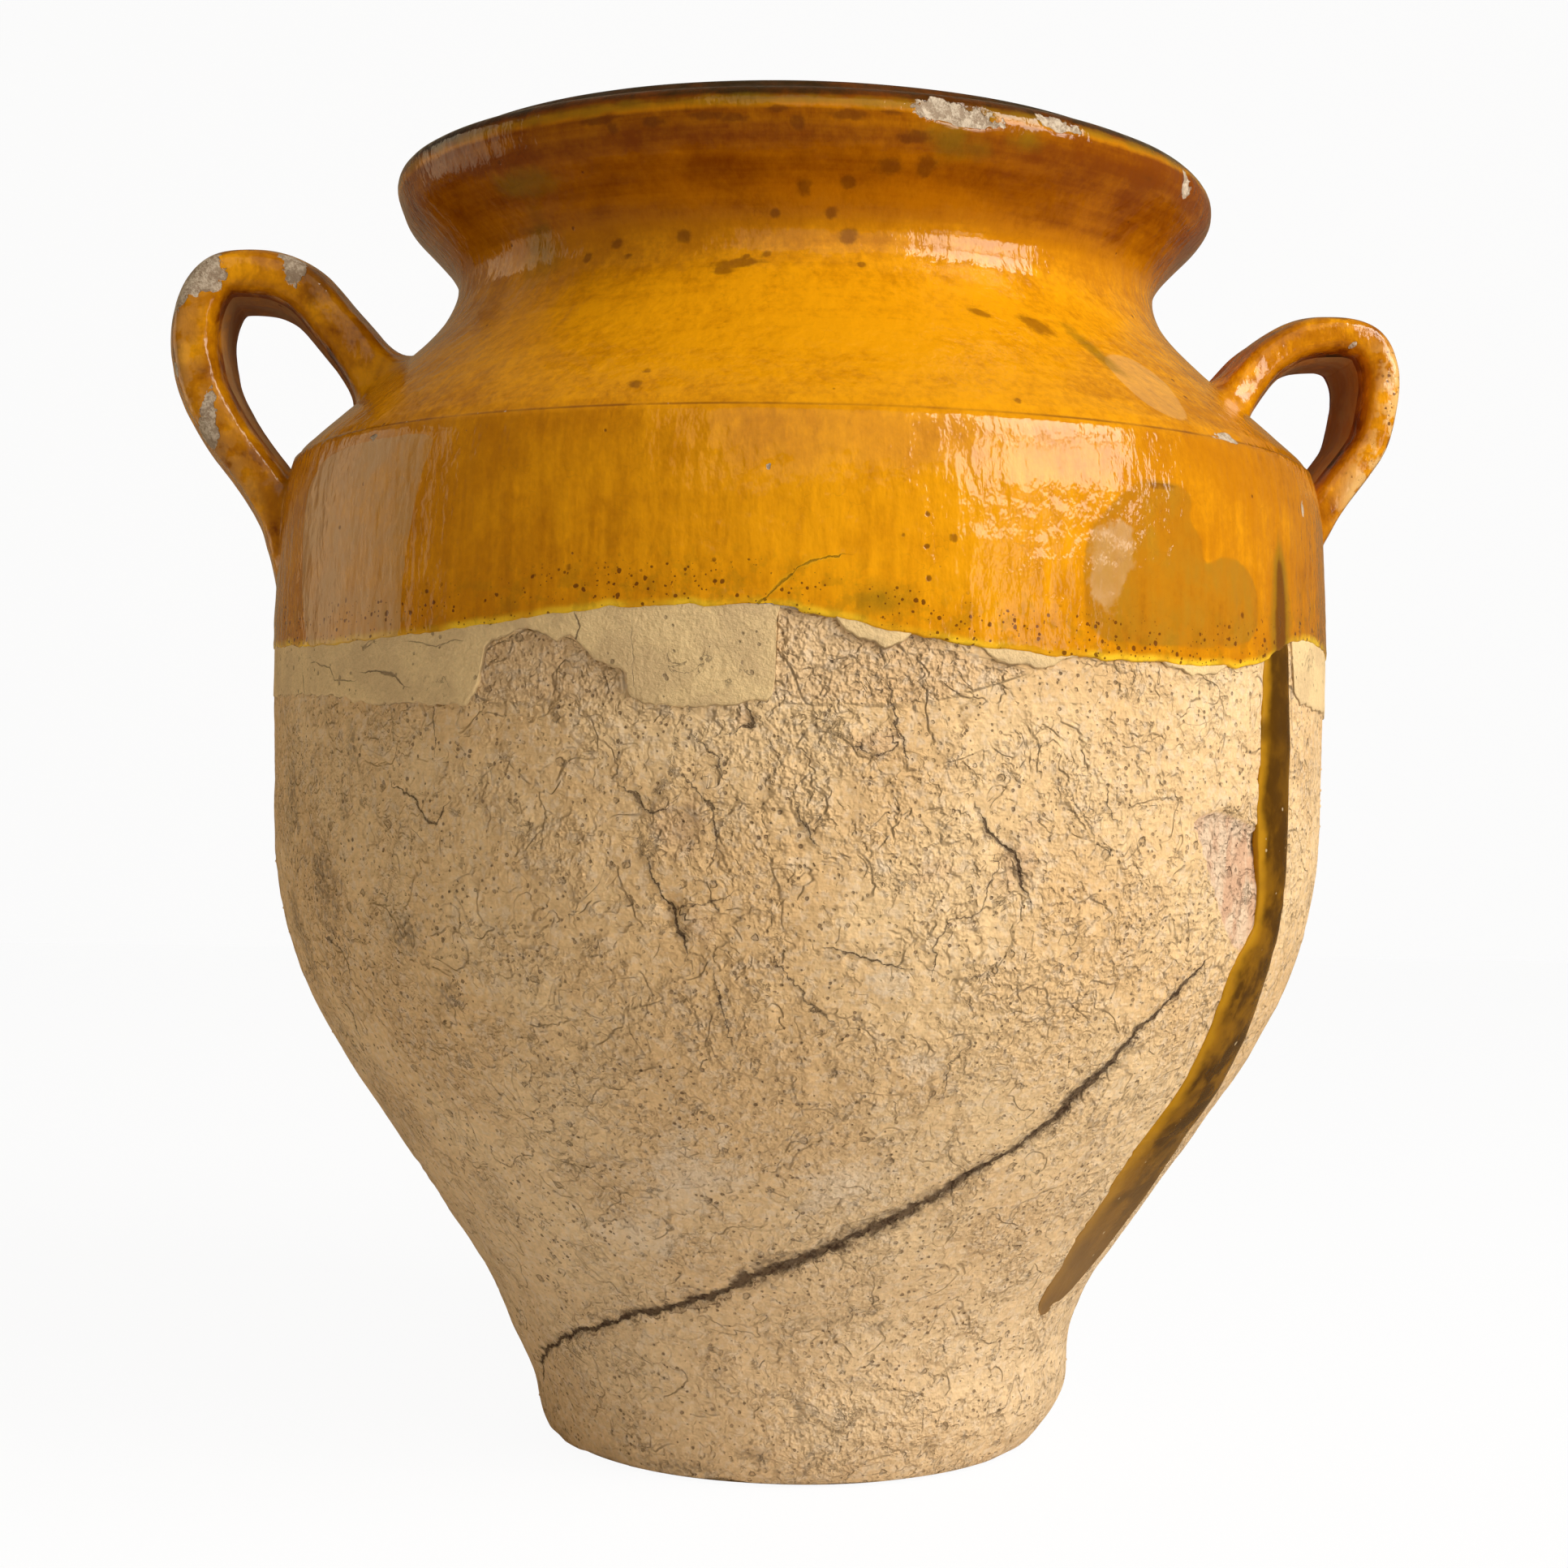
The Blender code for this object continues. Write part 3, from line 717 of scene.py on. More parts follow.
    def make_seams(self) -> bpy.types.NodeTree:
        """Jagged hairlines that wander and stop, along the contours of a twisted noise.

        Returns:
            The tree.
        """
        sockets = {"Scale": 130.0, "Width": 0.02, "Cover": 0.45}
        net, given = new_group("wandering_seams", sockets, ("Mask",))
        vector, scale, width = given["Vector"], given["Scale"], given["Width"]
        away = abs(net.noise(vector, scale, 6.0, 0.62, 0.5) - 0.5)
        line = net.step(away, width * 0.3, width, 1.0, 0.0)
        cover = 1.0 - given["Cover"]
        place = net.noise(net.vector("ADD", vector, (0.7, 0.2, 0.4)), scale * 0.9, 2.0)
        return net.end(Mask=line * net.step(place, cover, cover + 0.05))

    def make_fissure(self) -> bpy.types.NodeTree:
        """Jagged crack from a signed distance: its dark line, its worn border, its lip and its twin.

        Returns:
            The tree.
        """
        sockets = {"Distance": 4.0, "Half Width": 0.3, "Depth": 0.0, "Swing": 3.0, "Tremor": 1.5}
        net, given = new_group("fissure", sockets, ("Line", "Border", "Lip", "Twin"))
        vector = given["Vector"]
        slow = net.noise(vector, 230.0, 2.0) - 0.5
        fast = net.noise(vector, 900.0, 3.0, 0.7) - 0.5
        moved = given["Distance"] + slow * given["Swing"] + fast * given["Tremor"]
        gap = abs(moved)
        wide = given["Half Width"] * net.step(net.noise(vector, 420.0, 2.0), 0.36, 0.6, 0.45, 1.25)
        marks = {
            "Line": net.step(gap, wide * 0.2, wide * 0.8, 1.0, 0.0),
            "Border": net.step(gap, wide * 0.6, wide * 2.2, 1.0, 0.0),
            "Lip": net.step(moved, 0.0, wide + 1.2, 1.0, 0.0) * net.step(moved, wide * -1.0, 0.0, 0.0, 1.0),
        }
        kept = net.step(wide, 0.45, 0.8) * net.step(net.noise(vector, 170.0, 2.0), 0.44, 0.52)
        marks["Twin"] = net.step(abs(moved - wide * 1.25), 0.06, 0.26, 1.0, 0.0) * kept
        for name, mark in marks.items():
            marks[name] = net.math("MULTIPLY", mark, given["Depth"], clamp=True)
        return net.end(**marks)


# Finishes


@dataclass(frozen=True)
class Finish:
    """One material: its name, its slot name and the values on the shader's own sockets."""

    name: str
    slot: str
    roughness: float = 0.5
    ior: float = 1.5
    coat: float = 0.0
    coat_roughness: float = 0.05
    gloss: float = 0.5

    def begin(self) -> tuple:
        """Start the material.

        Returns:
            Material, its Net, its Principled shader and the Object coordinates.
        """
        material = bpy.data.materials.new(self.name)
        material.use_nodes = True
        net = Net(material.node_tree)
        net.place = net.add("ShaderNodeTexCoord")["Object"]
        shader = material.node_tree.nodes["Principled BSDF"]
        shader.inputs["Roughness"].default_value = self.roughness
        shader.inputs["IOR"].default_value = self.ior
        shader.inputs["Specular IOR Level"].default_value = self.gloss
        shader.inputs["Coat Weight"].default_value = self.coat
        shader.inputs["Coat Roughness"].default_value = self.coat_roughness
        return material, net, shader, net.place

    def end(self, net: Net, shader: bpy.types.Node, colour: Value, height: Value) -> None:
        """Wire the colour and a height in millimetres to the shader.

        Args:
            net: net of the material.
            shader: its Principled shader.
            colour: base colour.
            height: relief that bends the normal.
        """
        net.wire(colour, shader.inputs["Base Color"])
        made = net.add("ShaderNodeBump", {"Strength": 1.0, "Distance": MM, "Height": height})
        net.wire(made[0], shader.inputs["Normal"])


@dataclass(frozen=True)
class ClayFinish(Finish):
    """Bare buff earthenware: sandy, pitted, flaked and stained."""

    buff: Colour = (0.70, 0.455, 0.215, 1.0)
    sand: Colour = (0.78, 0.545, 0.285, 1.0)
    brown: Colour = (0.50, 0.30, 0.135, 1.0)
    rose: Colour = (0.56, 0.355, 0.205, 1.0)
    chalk: Colour = (0.74, 0.60, 0.44, 1.0)
    low_grey_shade: Colour = (0.58, 0.44, 0.29, 1.0)
    dark: Colour = (0.125, 0.066, 0.030, 1.0)
    crevice: Colour = (0.066, 0.034, 0.016, 1.0)
    stain: Colour = (0.21, 0.145, 0.08, 1.0)
    raw: Colour = (0.60, 0.365, 0.225, 1.0)
    fresh: Colour = (0.70, 0.515, 0.35, 1.0)

    def make(self, fx: Effects) -> bpy.types.Material:
        """Build the material.

        Args:
            fx: the shared groups.

        Returns:
            The material.
        """
        material, net, shader, place = self.begin()
        chip = net.attribute("chip")
        bare = net.attribute("under_slip")
        blush = net.mask(fx.patch, Field="blush", Scale=190.0, Ragged=2.6, Soft=0.8)
        broad = net.mask(fx.clouds, Scale=26.0, Low=0.36, High=0.66)
        small = net.mask(fx.clouds, Scale=150.0, Low=0.40, High=0.66)
        zone = net.group(fx.flaking, Scale=44.0, Level=0.53, Brink=0.020)
        skin = net.group(fx.flaking, Scale=105.0, Level=0.56, Brink=0.042)
        scales = net.group(fx.flaking, Scale=280.0, Level=0.53, Brink=0.09)
        pits = net.mask(fx.specks, Scale=800.0, Radius=0.32, Share=0.58, Warp=0.6)
        holes = net.mask(fx.specks, Scale=240.0, Radius=0.25, Share=0.22, Warp=0.45)
        lines = net.mask(fx.seams, Scale=130.0, Width=0.020, Cover=0.38)
        hair = net.mask(fx.seams, Scale=330.0, Width=0.030, Cover=0.34)
        fine = net.noise(place, 1000.0, 1.0, 0.5)
        middle = net.noise(place, 430.0, 3.0, 0.5)
        drag = net.noise(net.vector("MULTIPLY", place, (0.22, 0.22, 1.5)), 420.0, 2.0, 0.5)
        grainy = net.step(net.noise(place, 62.0, 3.0, 0.6), 0.48, 0.62)
        rough = net.most(zone["Floor"] * 0.6, net.step(bare, 0.0, 0.5), grainy, blush * 0.7)
        split = net.crack(fx.fissure)
        colour = net.mix(broad, self.buff, self.sand)
        colour = net.mix(small * 0.06, colour, self.brown)
        # Greyer and darker towards the bottom: partly the clay's own tone, partly painted shade.
        colour = net.mix(net.step(net.split(place)[2], 0.03, 0.12, 0.36, 0.0), colour, self.low_grey_shade)
        colour = net.mix(rough * 0.08, colour, self.rose)
        colour = net.mix(net.step(bare, 0.0, 1.2) * 0.22, colour, self.rose)
        colour = net.mix(blush * 0.45, colour, self.rose)
        # Painted shade in the grain: darker where the fine and middle relief is low, lighter where it is
        # high.
        shade = net.step(fine, 0.30, 0.68, 0.93, 1.05)
        shade = shade * net.step(middle, 0.36, 0.62, 0.96, 1.03)
        colour = net.mix(1.0, colour, net.join(shade, shade, shade), "MULTIPLY")
        # Pale chalky flecks: partly the clay's own bloom, partly painted highlights.
        chalk_flecks_and_glints = net.step(net.noise(place, 520.0, 3.0, 0.6), 0.48, 0.64, 0.0, 0.36)
        colour = net.mix(chalk_flecks_and_glints, colour, self.chalk)
        chalky = net.mask(fx.patch, Field="bloom", Scale=260.0, Ragged=2.2, Soft=0.9)
        colour = net.mix(chalky * 0.5, colour, self.chalk)
        dirty = net.mask(fx.patch, Field="stain", Scale=190.0, Ragged=2.2, Soft=0.9)
        grains = net.step(fine, 0.40, 0.62, 0.62, 0.22)
        colour = net.mix(dirty * grains, colour, self.stain)
        torn = net.mask(fx.clouds, Scale=210.0, Stretch=(1.0, 1.0, 0.5), Low=0.42, High=0.6)
        torn = net.mix(torn, self.raw, self.fresh)
        colour = net.mix(net.step(chip, 0.0, 0.5), colour, torn)
        # Dark lines along the flake edges: painted shadow of the steps.
        brink_shadows = net.most(zone["Brink"], skin["Brink"])
        brink_shadows = net.most(brink_shadows, scales["Brink"] * net.blend(rough, 0.45, 1.0))
        colour = net.mix(split["Border"] * 0.45, colour, self.stain)
        crowd = net.step(net.noise(place, 85.0, 3.0, 0.6), 0.42, 0.58, 0.18, 0.68)
        dips = net.most(pits * crowd, holes * 0.32)
        thin = net.most(lines * 0.22, hair * 0.08)
        fibres = net.step(net.noise(place, 700.0, 3.0, 0.65), 0.36, 0.56, 1.0, 0.82)
        ink = net.most(dips, brink_shadows * 0.06, thin, split["Twin"] * 0.7)
        colour = net.mix(ink, colour, self.dark)
        colour = net.mix(split["Line"] * fibres, colour, self.crevice)
        height = middle * net.blend(rough, 0.50, 1.30) + fine * net.blend(rough, 0.28, 1.20) + drag * 0.45
        for mask, depth in (
            (pits, 0.35),
            (holes, 0.8),
            (zone["Floor"], 0.55),
            (skin["Floor"], 0.60),
            (scales["Floor"] * net.blend(rough, 0.4, 1.0), 0.50),
            (lines, 0.45),
            (hair, 0.25),
            (split["Line"], 0.9),
        ):
            height = height - mask * depth
        self.end(net, shader, colour, height + split["Lip"] * 0.30)
        return material


@dataclass(frozen=True)
class SlipFinish(Finish):
    """Pale engobe: smoother than the clay, finely pitted, with hairline cracks."""

    cream: Colour = (0.77, 0.555, 0.275, 1.0)
    grey: Colour = (0.66, 0.465, 0.235, 1.0)
    dirt_and_edge_shadow: Colour = (0.19, 0.12, 0.06, 1.0)

    def make(self, fx: Effects) -> bpy.types.Material:
        """Build the material.

        Args:
            fx: the shared groups.

        Returns:
            The material.
        """
        material, net, shader, place = self.begin()
        clouds = net.mask(fx.clouds, Scale=90.0, Low=0.40, High=0.62)
        pits = net.mask(fx.specks, Scale=600.0, Radius=0.30, Share=0.22, Warp=0.3)
        lines = net.mask(fx.seams, Scale=90.0, Width=0.010, Cover=0.40)
        fine = net.noise(place, 1400.0, 3.0, 0.65)
        middle = net.noise(place, 380.0, 3.0, 0.6)
        split = net.crack(fx.fissure, Swing=1.2, Tremor=0.6)
        colour = net.mix(clouds, self.cream, self.grey)
        # Painted shade in the grain: darker where the fine relief is low.
        shade = net.step(fine, 0.33, 0.68, 0.94, 1.05)
        colour = net.mix(1.0, colour, net.join(shade, shade, shade), "MULTIPLY")
        # Dark band along the slip's free lower edge, broken in places: painted shadow of its step.
        low = net.step(net.attribute("edge_up"), 0.02, 0.5, 0.75, 0.0)
        low = low * net.step(net.noise(place, 150.0, 3.0), 0.44, 0.54, 0.25, 1.0)
        ink = net.most(pits * 0.6, low, lines * 0.5, split["Line"] * 0.85)
        colour = net.mix(ink, colour, self.dirt_and_edge_shadow)
        self.end(net, shader, colour, middle * 0.55 + fine * 0.26 - ink * 0.35)
        return material


@dataclass(frozen=True)
class GlazeFinish(Finish):
    """Honey lead glaze: mottled amber, iron specks, craze lines, chips down to the clay, and painted window
    reflections.
    """

    burnt: Colour = (0.030, 0.014, 0.002, 1.0)
    deep: Colour = (0.20, 0.045, 0.0006, 1.0)
    amber: Colour = (0.50, 0.175, 0.0012, 1.0)
    gold: Colour = (0.80, 0.33, 0.003, 1.0)
    lemon: Colour = (0.88, 0.54, 0.025, 1.0)
    iron: Colour = (0.12, 0.030, 0.003, 1.0)
    olive: Colour = (0.24, 0.135, 0.005, 1.0)
    bare: Colour = (0.62, 0.51, 0.38, 1.0)
    soil: Colour = (0.33, 0.24, 0.16, 1.0)
    honey: Colour = (0.74, 0.44, 0.15, 1.0)
    # Pinkish colour of the dull patches: partly matte worn glaze, partly painted reflection.
    dull: Colour = (0.52, 0.30, 0.112, 1.0)
    moss: Colour = (0.35, 0.175, 0.012, 1.0)
    mottle: float = 0.38
    ridge_height: float = 0.2113

    def make(self, fx: Effects) -> bpy.types.Material:
        """Build the material.

        Args:
            fx: the shared groups.

        Returns:
            The material.
        """
        material, net, shader, place = self.begin()
        shader.inputs["Specular Tint"].default_value = (1.0, 0.93, 0.82, 1.0)
        edge = net.attribute("edge_up")
        drawn = net.attribute("drawn")
        total = net.attribute("tone")
        broad = net.noise(place, 26.0, 4.0, 0.6, 0.2)
        blotch = net.noise(place, 120.0, 4.0, 0.62, 0.3)
        flow = net.noise(net.vector("MULTIPLY", place, (1.0, 1.0, 0.14)), 420.0, 4.0, 0.6)
        rings = net.noise(net.vector("MULTIPLY", place, (0.07, 0.07, 1.6)), 210.0, 4.0, 0.6)
        fleck = net.noise(place, 620.0, 4.0, 0.68)
        streaks = net.blend(drawn, rings, flow)
        grainy = net.attribute("grainy")
        waves = (
            (broad, 0.45),
            (blotch, net.blend(grainy, 0.8 * self.mottle, 1.8 * self.mottle)),
            (streaks, 0.50),
            (fleck, grainy * 0.72),
        )
        for value, weight in waves:
            total = total + (value - 0.5) * weight
        thick = net.mask(fx.patch, Field="thick", Scale=140.0, Ragged=1.8, Soft=0.9)
        total = total - thick * 0.16
        total = total - net.attribute("shade") * net.step(flow, 0.40, 0.62)
        colour = net.mix(net.step(total, -0.45, 0.0), self.burnt, self.deep)
        colour = net.mix(net.step(total, 0.0, 0.5), colour, self.amber)
        colour = net.mix(net.step(total, 0.45, 1.0), colour, self.gold)
        veined = net.step(blotch, 0.38, 0.62, 0.30, 0.62) * net.step(flow, 0.38, 0.62, 0.75, 1.15)
        colour = net.mix(thick * veined, colour, self.moss)
        near = net.step(edge, 0.5, 2.0, 1.0, 0.0)
        pooled = net.step(net.noise(place, 75.0, 2.0), 0.40, 0.58, 0.3, 0.95)
        colour = net.mix(near * pooled, colour, self.lemon)
        low = net.step(edge, 3.0, 15.0, 1.0, 0.0)
        muddy = net.step(net.noise(place, 260.0, 4.0, 0.65), 0.49, 0.62)
        colour = net.mix(low * muddy * 0.30, colour, self.olive)
        rubbed = net.attribute("worn") * net.step(net.noise(place, 260.0, 3.0), 0.40, 0.50)
        colour = net.mix(rubbed, colour, self.honey)
        # Dull pinkish patches: partly matte worn glaze, partly painted window reflection.
        dull_and_reflection = net.mask(fx.patch, Field="dull_and_reflection", Scale=200.0, Ragged=1.4, Soft=0.25)
        dull_and_reflection = dull_and_reflection * net.step(blotch, 0.36, 0.62, 0.72, 0.42)
        colour = net.mix(dull_and_reflection, colour, self.dull)
        # Pale wedge on the right shoulder: painted window reflection.
        pale = net.mask(fx.patch, Field="pale", Scale=200.0, Ragged=1.0, Soft=0.6)
        colour = net.mix(pale * 0.36, colour, self.honey)
        green = net.mask(fx.patch, Field="olive", Scale=150.0, Ragged=1.6, Soft=0.9)
        colour = net.mix(green * 0.65, colour, self.olive)
        dots = net.mask(fx.specks, Scale=640.0, Radius=0.32, Share=0.66, Warp=0.5)
        motes = net.mask(fx.specks, Scale=1250.0, Radius=0.34, Share=0.42, Warp=0.4)
        few = net.mask(fx.specks, Scale=200.0, Radius=0.13, Share=0.16, Warp=0.12)
        dense = net.most(net.step(edge, 2.0, 13.0, 1.0, 0.0), rubbed * 0.9)
        dense = dense * net.step(net.noise(place, 100.0, 3.0), 0.40, 0.48)
        ink = net.most(dots, motes * 0.7)
        ink = net.step(ink * dense, 0.10, 0.50) * 0.85
        ink = net.most(ink, few * 0.75)
        marks = net.mask(fx.patch, Field="spot", Scale=380.0, Ragged=1.3, Soft=0.55)
        ink = net.most(ink, marks * 0.6)
        streak = net.attribute("streak") + (blotch - 0.5) * 2.4
        colour = net.mix(net.step(streak, -3.4, -0.4, 0.0, 0.72), colour, self.olive)
        ink = net.most(ink, net.step(streak, -0.8, 0.8, 0.0, 0.8))
        craze = net.mask(fx.crackle, Scale=210.0, Width=0.02, Cover=0.5, Bend=0.004)
        ink = net.most(ink, net.most(craze * 0.16, net.step(edge, 0.0, 0.3, 0.35, 0.0)))
        split = net.crack(fx.fissure, Swing=1.0, Tremor=0.7)
        colour = net.mix(ink, colour, self.iron)
        colour = net.mix(split["Border"] * 0.18, colour, self.lemon)
        colour = net.mix(split["Line"] * 0.75, colour, self.olive)
        away = abs(net.split(place)[2] - self.ridge_height)
        ring = net.step(away, 0.00005, 0.0004, 1.0, 0.0) * net.math("LESS_THAN", edge, 59.0)
        worn = net.noise(place, 60.0, 3.0)
        colour = net.mix(ring * net.step(worn, 0.36, 0.62, 0.62, 0.22), colour, self.iron)
        worn = net.step(net.noise(place, 300.0, 3.0), 0.64, 0.68)
        colour = net.mix(ring * worn * 0.8, colour, self.bare)
        lost = net.mask(fx.patch, Field="chip", Scale=330.0, Ragged=1.7, Soft=0.08)
        grain = net.mask(fx.grit)
        under = net.mix(net.step(grain, 0.42, 0.60), self.soil, self.bare)
        colour = net.mix(lost, colour, under)
        dull = net.most(lost, net.attribute("matt"), dull_and_reflection * 0.25)
        net.wire(net.blend(dull, self.roughness, 0.85), shader.inputs["Roughness"])
        skin = net.noise(place, 120.0, 2.0, 0.5)
        ripple = net.noise(net.vector("MULTIPLY", place, (1.0, 1.0, 0.55)), 330.0, 3.0, 0.55)
        drips = net.noise(net.vector("MULTIPLY", place, (1.0, 1.0, 0.22)), 170.0, 3.0, 0.5)
        height = skin * 0.36 + ripple * 0.34 + drips * drawn * 0.44 + fleck * 0.02
        height = height - lost * 0.5 + grain * lost * 0.7 - few * 0.05 - split["Line"] * 0.2
        self.end(net, shader, colour, height)
        return material


@dataclass(frozen=True)
class RunFinish(Finish):
    """Thick run of glaze: dark brown core, amber sides, pale seeds and cross bands."""

    core: Colour = (0.075, 0.030, 0.002, 1.0)
    side: Colour = (0.42, 0.20, 0.008, 1.0)
    amber: Colour = (0.23, 0.10, 0.004, 1.0)
    seed: Colour = (0.62, 0.50, 0.30, 1.0)
    veil: Colour = (0.27, 0.155, 0.060, 1.0)

    def make(self, fx: Effects) -> bpy.types.Material:
        """Build the material.

        Args:
            fx: the shared groups.

        Returns:
            The material.
        """
        material, net, shader, place = self.begin()
        shader.inputs["Specular Tint"].default_value = (1.0, 0.92, 0.78, 1.0)
        across = net.attribute("across")
        down = net.attribute("down")
        clouds = net.mask(fx.clouds, Scale=110.0, Low=0.40, High=0.64)
        clouds = clouds * net.step(down, 20.0, 60.0, 0.35, 1.0)
        colour = net.mix(clouds, self.core, self.amber)
        shake = (net.noise(place, 160.0, 3.0) - 0.5) * 0.5
        side = net.step(abs(across) + shake, 0.55, 1.0)
        left = net.step(across, -0.4, 0.2, 1.0, 0.25)
        colour = net.mix(side * left, colour, self.side)
        tail = net.step(down, 88.0, 128.0)
        colour = net.mix(tail * 0.8, colour, self.veil)
        seeds = net.mask(fx.specks, Scale=420.0, Radius=0.2, Share=0.10, Warp=0.2)
        colour = net.mix(seeds * 0.6, colour, self.seed)
        band = abs(down - 13.0)
        colour = net.mix(net.step(band, 0.6, 3.5, 0.65, 0.0), colour, self.core)
        net.wire(net.blend(tail, self.roughness, 0.55), shader.inputs["Roughness"])
        ripple = net.noise(place, 190.0, 3.0, 0.55)
        self.end(net, shader, colour, ripple * 0.3)
        return material


@dataclass(frozen=True)
class LiningFinish(Finish):
    """Thin lining glaze inside: amber brown with rings, dark patches and craze lines."""

    amber: Colour = (0.50, 0.245, 0.035, 1.0)
    pale: Colour = (0.60, 0.38, 0.12, 1.0)
    brown: Colour = (0.20, 0.085, 0.02, 1.0)

    def make(self, fx: Effects) -> bpy.types.Material:
        """Build the material.

        Args:
            fx: the shared groups.

        Returns:
            The material.
        """
        material, net, shader, place = self.begin()
        broad = net.mask(fx.clouds, Scale=28.0, Low=0.40, High=0.66)
        rings = net.mask(fx.clouds, Scale=120.0, Stretch=(0.08, 0.08, 1.6), Low=0.42, High=0.66)
        colour = net.mix(rings, self.amber, self.pale)
        colour = net.mix(broad * 0.6, colour, self.brown)
        dots = net.mask(fx.specks, Scale=190.0, Radius=0.2, Share=0.25, Warp=0.3)
        craze = net.mask(fx.crackle, Scale=190.0, Width=0.03, Cover=0.6, Bend=0.004)
        ink = net.most(dots * 0.7, craze * 0.4)
        colour = net.mix(ink, colour, self.brown)
        skin = net.noise(net.vector("MULTIPLY", place, (0.4, 0.4, 2.0)), 110.0, 3.0, 0.5)
        self.end(net, shader, colour, skin * 0.25)
        return material


@dataclass(frozen=True)
class StageFinish(Finish):
    """Pale floor and backdrop that stay near white for the camera and keep the shadow."""

    white: Colour = (0.93, 0.93, 0.93, 1.0)
    mirrored: Colour = (0.24, 0.18, 0.11, 1.0)
    lift: float = 0.94

    def make(self) -> bpy.types.Material:
        """Build the material.

        Returns:
            The material.
        """
        material, net, shader, _ = self.begin()
        shader.inputs["Base Color"].default_value = self.white
        path = net.add("ShaderNodeLightPath")
        seen = net.most(path["Is Camera Ray"], path["Is Transmission Ray"]) * self.lift
        seen = net.most(seen, path["Is Glossy Ray"])
        colour = net.mix(path["Is Glossy Ray"], (1.0, 1.0, 1.0, 1.0), self.mirrored)
        glow = net.add("ShaderNodeEmission", {"Color": colour, "Strength": 1.0})[0]
        mixed = net.add("ShaderNodeMixShader", (seen, Value(net, shader.outputs[0]), glow))[0]
        net.wire(mixed, material.node_tree.nodes["Material Output"].inputs[0])
        return material


# Meshes


def linked(name: str, data: bpy.types.ID) -> bpy.types.Object:
    """Make an object in the scene.

    Args:
        name: its name.
        data: its mesh, lamp or camera.

    Returns:
        The object.
    """
    thing = bpy.data.objects.new(name, data)
    bpy.context.scene.collection.objects.link(thing)
    return thing


def points_of(mesh: bpy.types.Mesh) -> np.ndarray:
    """Read the points of a mesh.

    Args:
        mesh: the mesh.

    Returns:
        Array of points in millimetres.
    """
    raw = np.zeros(len(mesh.vertices) * 3, np.float32)
    mesh.vertices.foreach_get("co", raw)
    return raw.reshape(-1, 3).astype(float) / MM


def add_fields(mesh: bpy.types.Mesh, fields: dict) -> None:
    """Write attributes to the points of a mesh.

    Args:
        mesh: the mesh.
        fields: attribute name to one number, or to one value for each point.
    """
    for label, values in fields.items():
        made = mesh.attributes.new(label, "FLOAT", "POINT")
        made.data.foreach_set("value", np.full(len(mesh.vertices), np.ravel(values), np.float32))
    mesh.update()


def closed_mesh(name: str, points: np.ndarray, capped: bool, fields: dict) -> bpy.types.Object:
    """Make an object from rows of points, of which each closes into a ring.

    Args:
        name: name of the piece.
        points: rows by columns, in millimetres.
        capped: close both ends with a flat face, or else join the last row to the first.
        fields: attribute name to one number, or to one value for each point.

    Returns:
        The object, in the scene.
    """
    rows, columns = points.shape[:2]
    a, b = np.meshgrid(np.arange(rows - 1 if capped else rows), np.arange(columns), indexing="ij")
    a2, b2 = (a + 1) % rows, (b + 1) % columns
    quads = np.stack([a * columns + b, a2 * columns + b, a2 * columns + b2, a * columns + b2], -1)
    faces = quads.reshape(-1, 4).tolist()
    if capped:
        faces += [list(range(columns)), list(range((rows - 1) * columns, rows * columns))]
    mesh = bpy.data.meshes.new(name)
    mesh.from_pydata((points.reshape(-1, 3) * MM).tolist(), [], faces)
    add_fields(mesh, fields)
    thing = linked(name, mesh)
    outward(thing)
    return thing


def outward(thing: bpy.types.Object) -> None:
    """Turn the faces of a closed mesh outwards and shade it smooth.

    Args:
        thing: object whose mesh is closed.
    """
    shape = bmesh.new()
    shape.from_mesh(thing.data)
    bmesh.ops.recalc_face_normals(shape, faces=shape.faces)
    shape.to_mesh(thing.data)
    shape.free()
    thing.data.shade_smooth()


def baked(thing: bpy.types.Object, modifier: bpy.types.Modifier) -> None:
    """Turn an object's Geometry Nodes result into its plain mesh.

    Args:
        thing: the object.
        modifier: the modifier to apply and remove.
    """
    bpy.context.view_layer.update()
    graph = bpy.context.evaluated_depsgraph_get()
    made = bpy.data.meshes.new_from_object(thing.evaluated_get(graph), depsgraph=graph)
    made.name = thing.name
    thing.modifiers.remove(modifier)
    thing.data = made


def run_nodes(thing: bpy.types.Object, tree: bpy.types.NodeTree, **inputs: Any) -> None:
    """Run a geometry node tree on an object and keep the result as its mesh.

    Args:
        thing: the object.
        tree: the tree.
        inputs: values by socket name, with _ for a space.
    """
    modifier = thing.modifiers.new(tree.name, "NODES")
    sockets = {s.name: s.identifier for s in tree.interface.items_tree if s.in_out == "INPUT"}
    for name, value in inputs.items():
        modifier[sockets[name.replace("_", " ")]] = value
    modifier.node_group = tree
    for name, value in inputs.items():
        modifier[sockets[name.replace("_", " ")]] = value
    baked(thing, modifier)


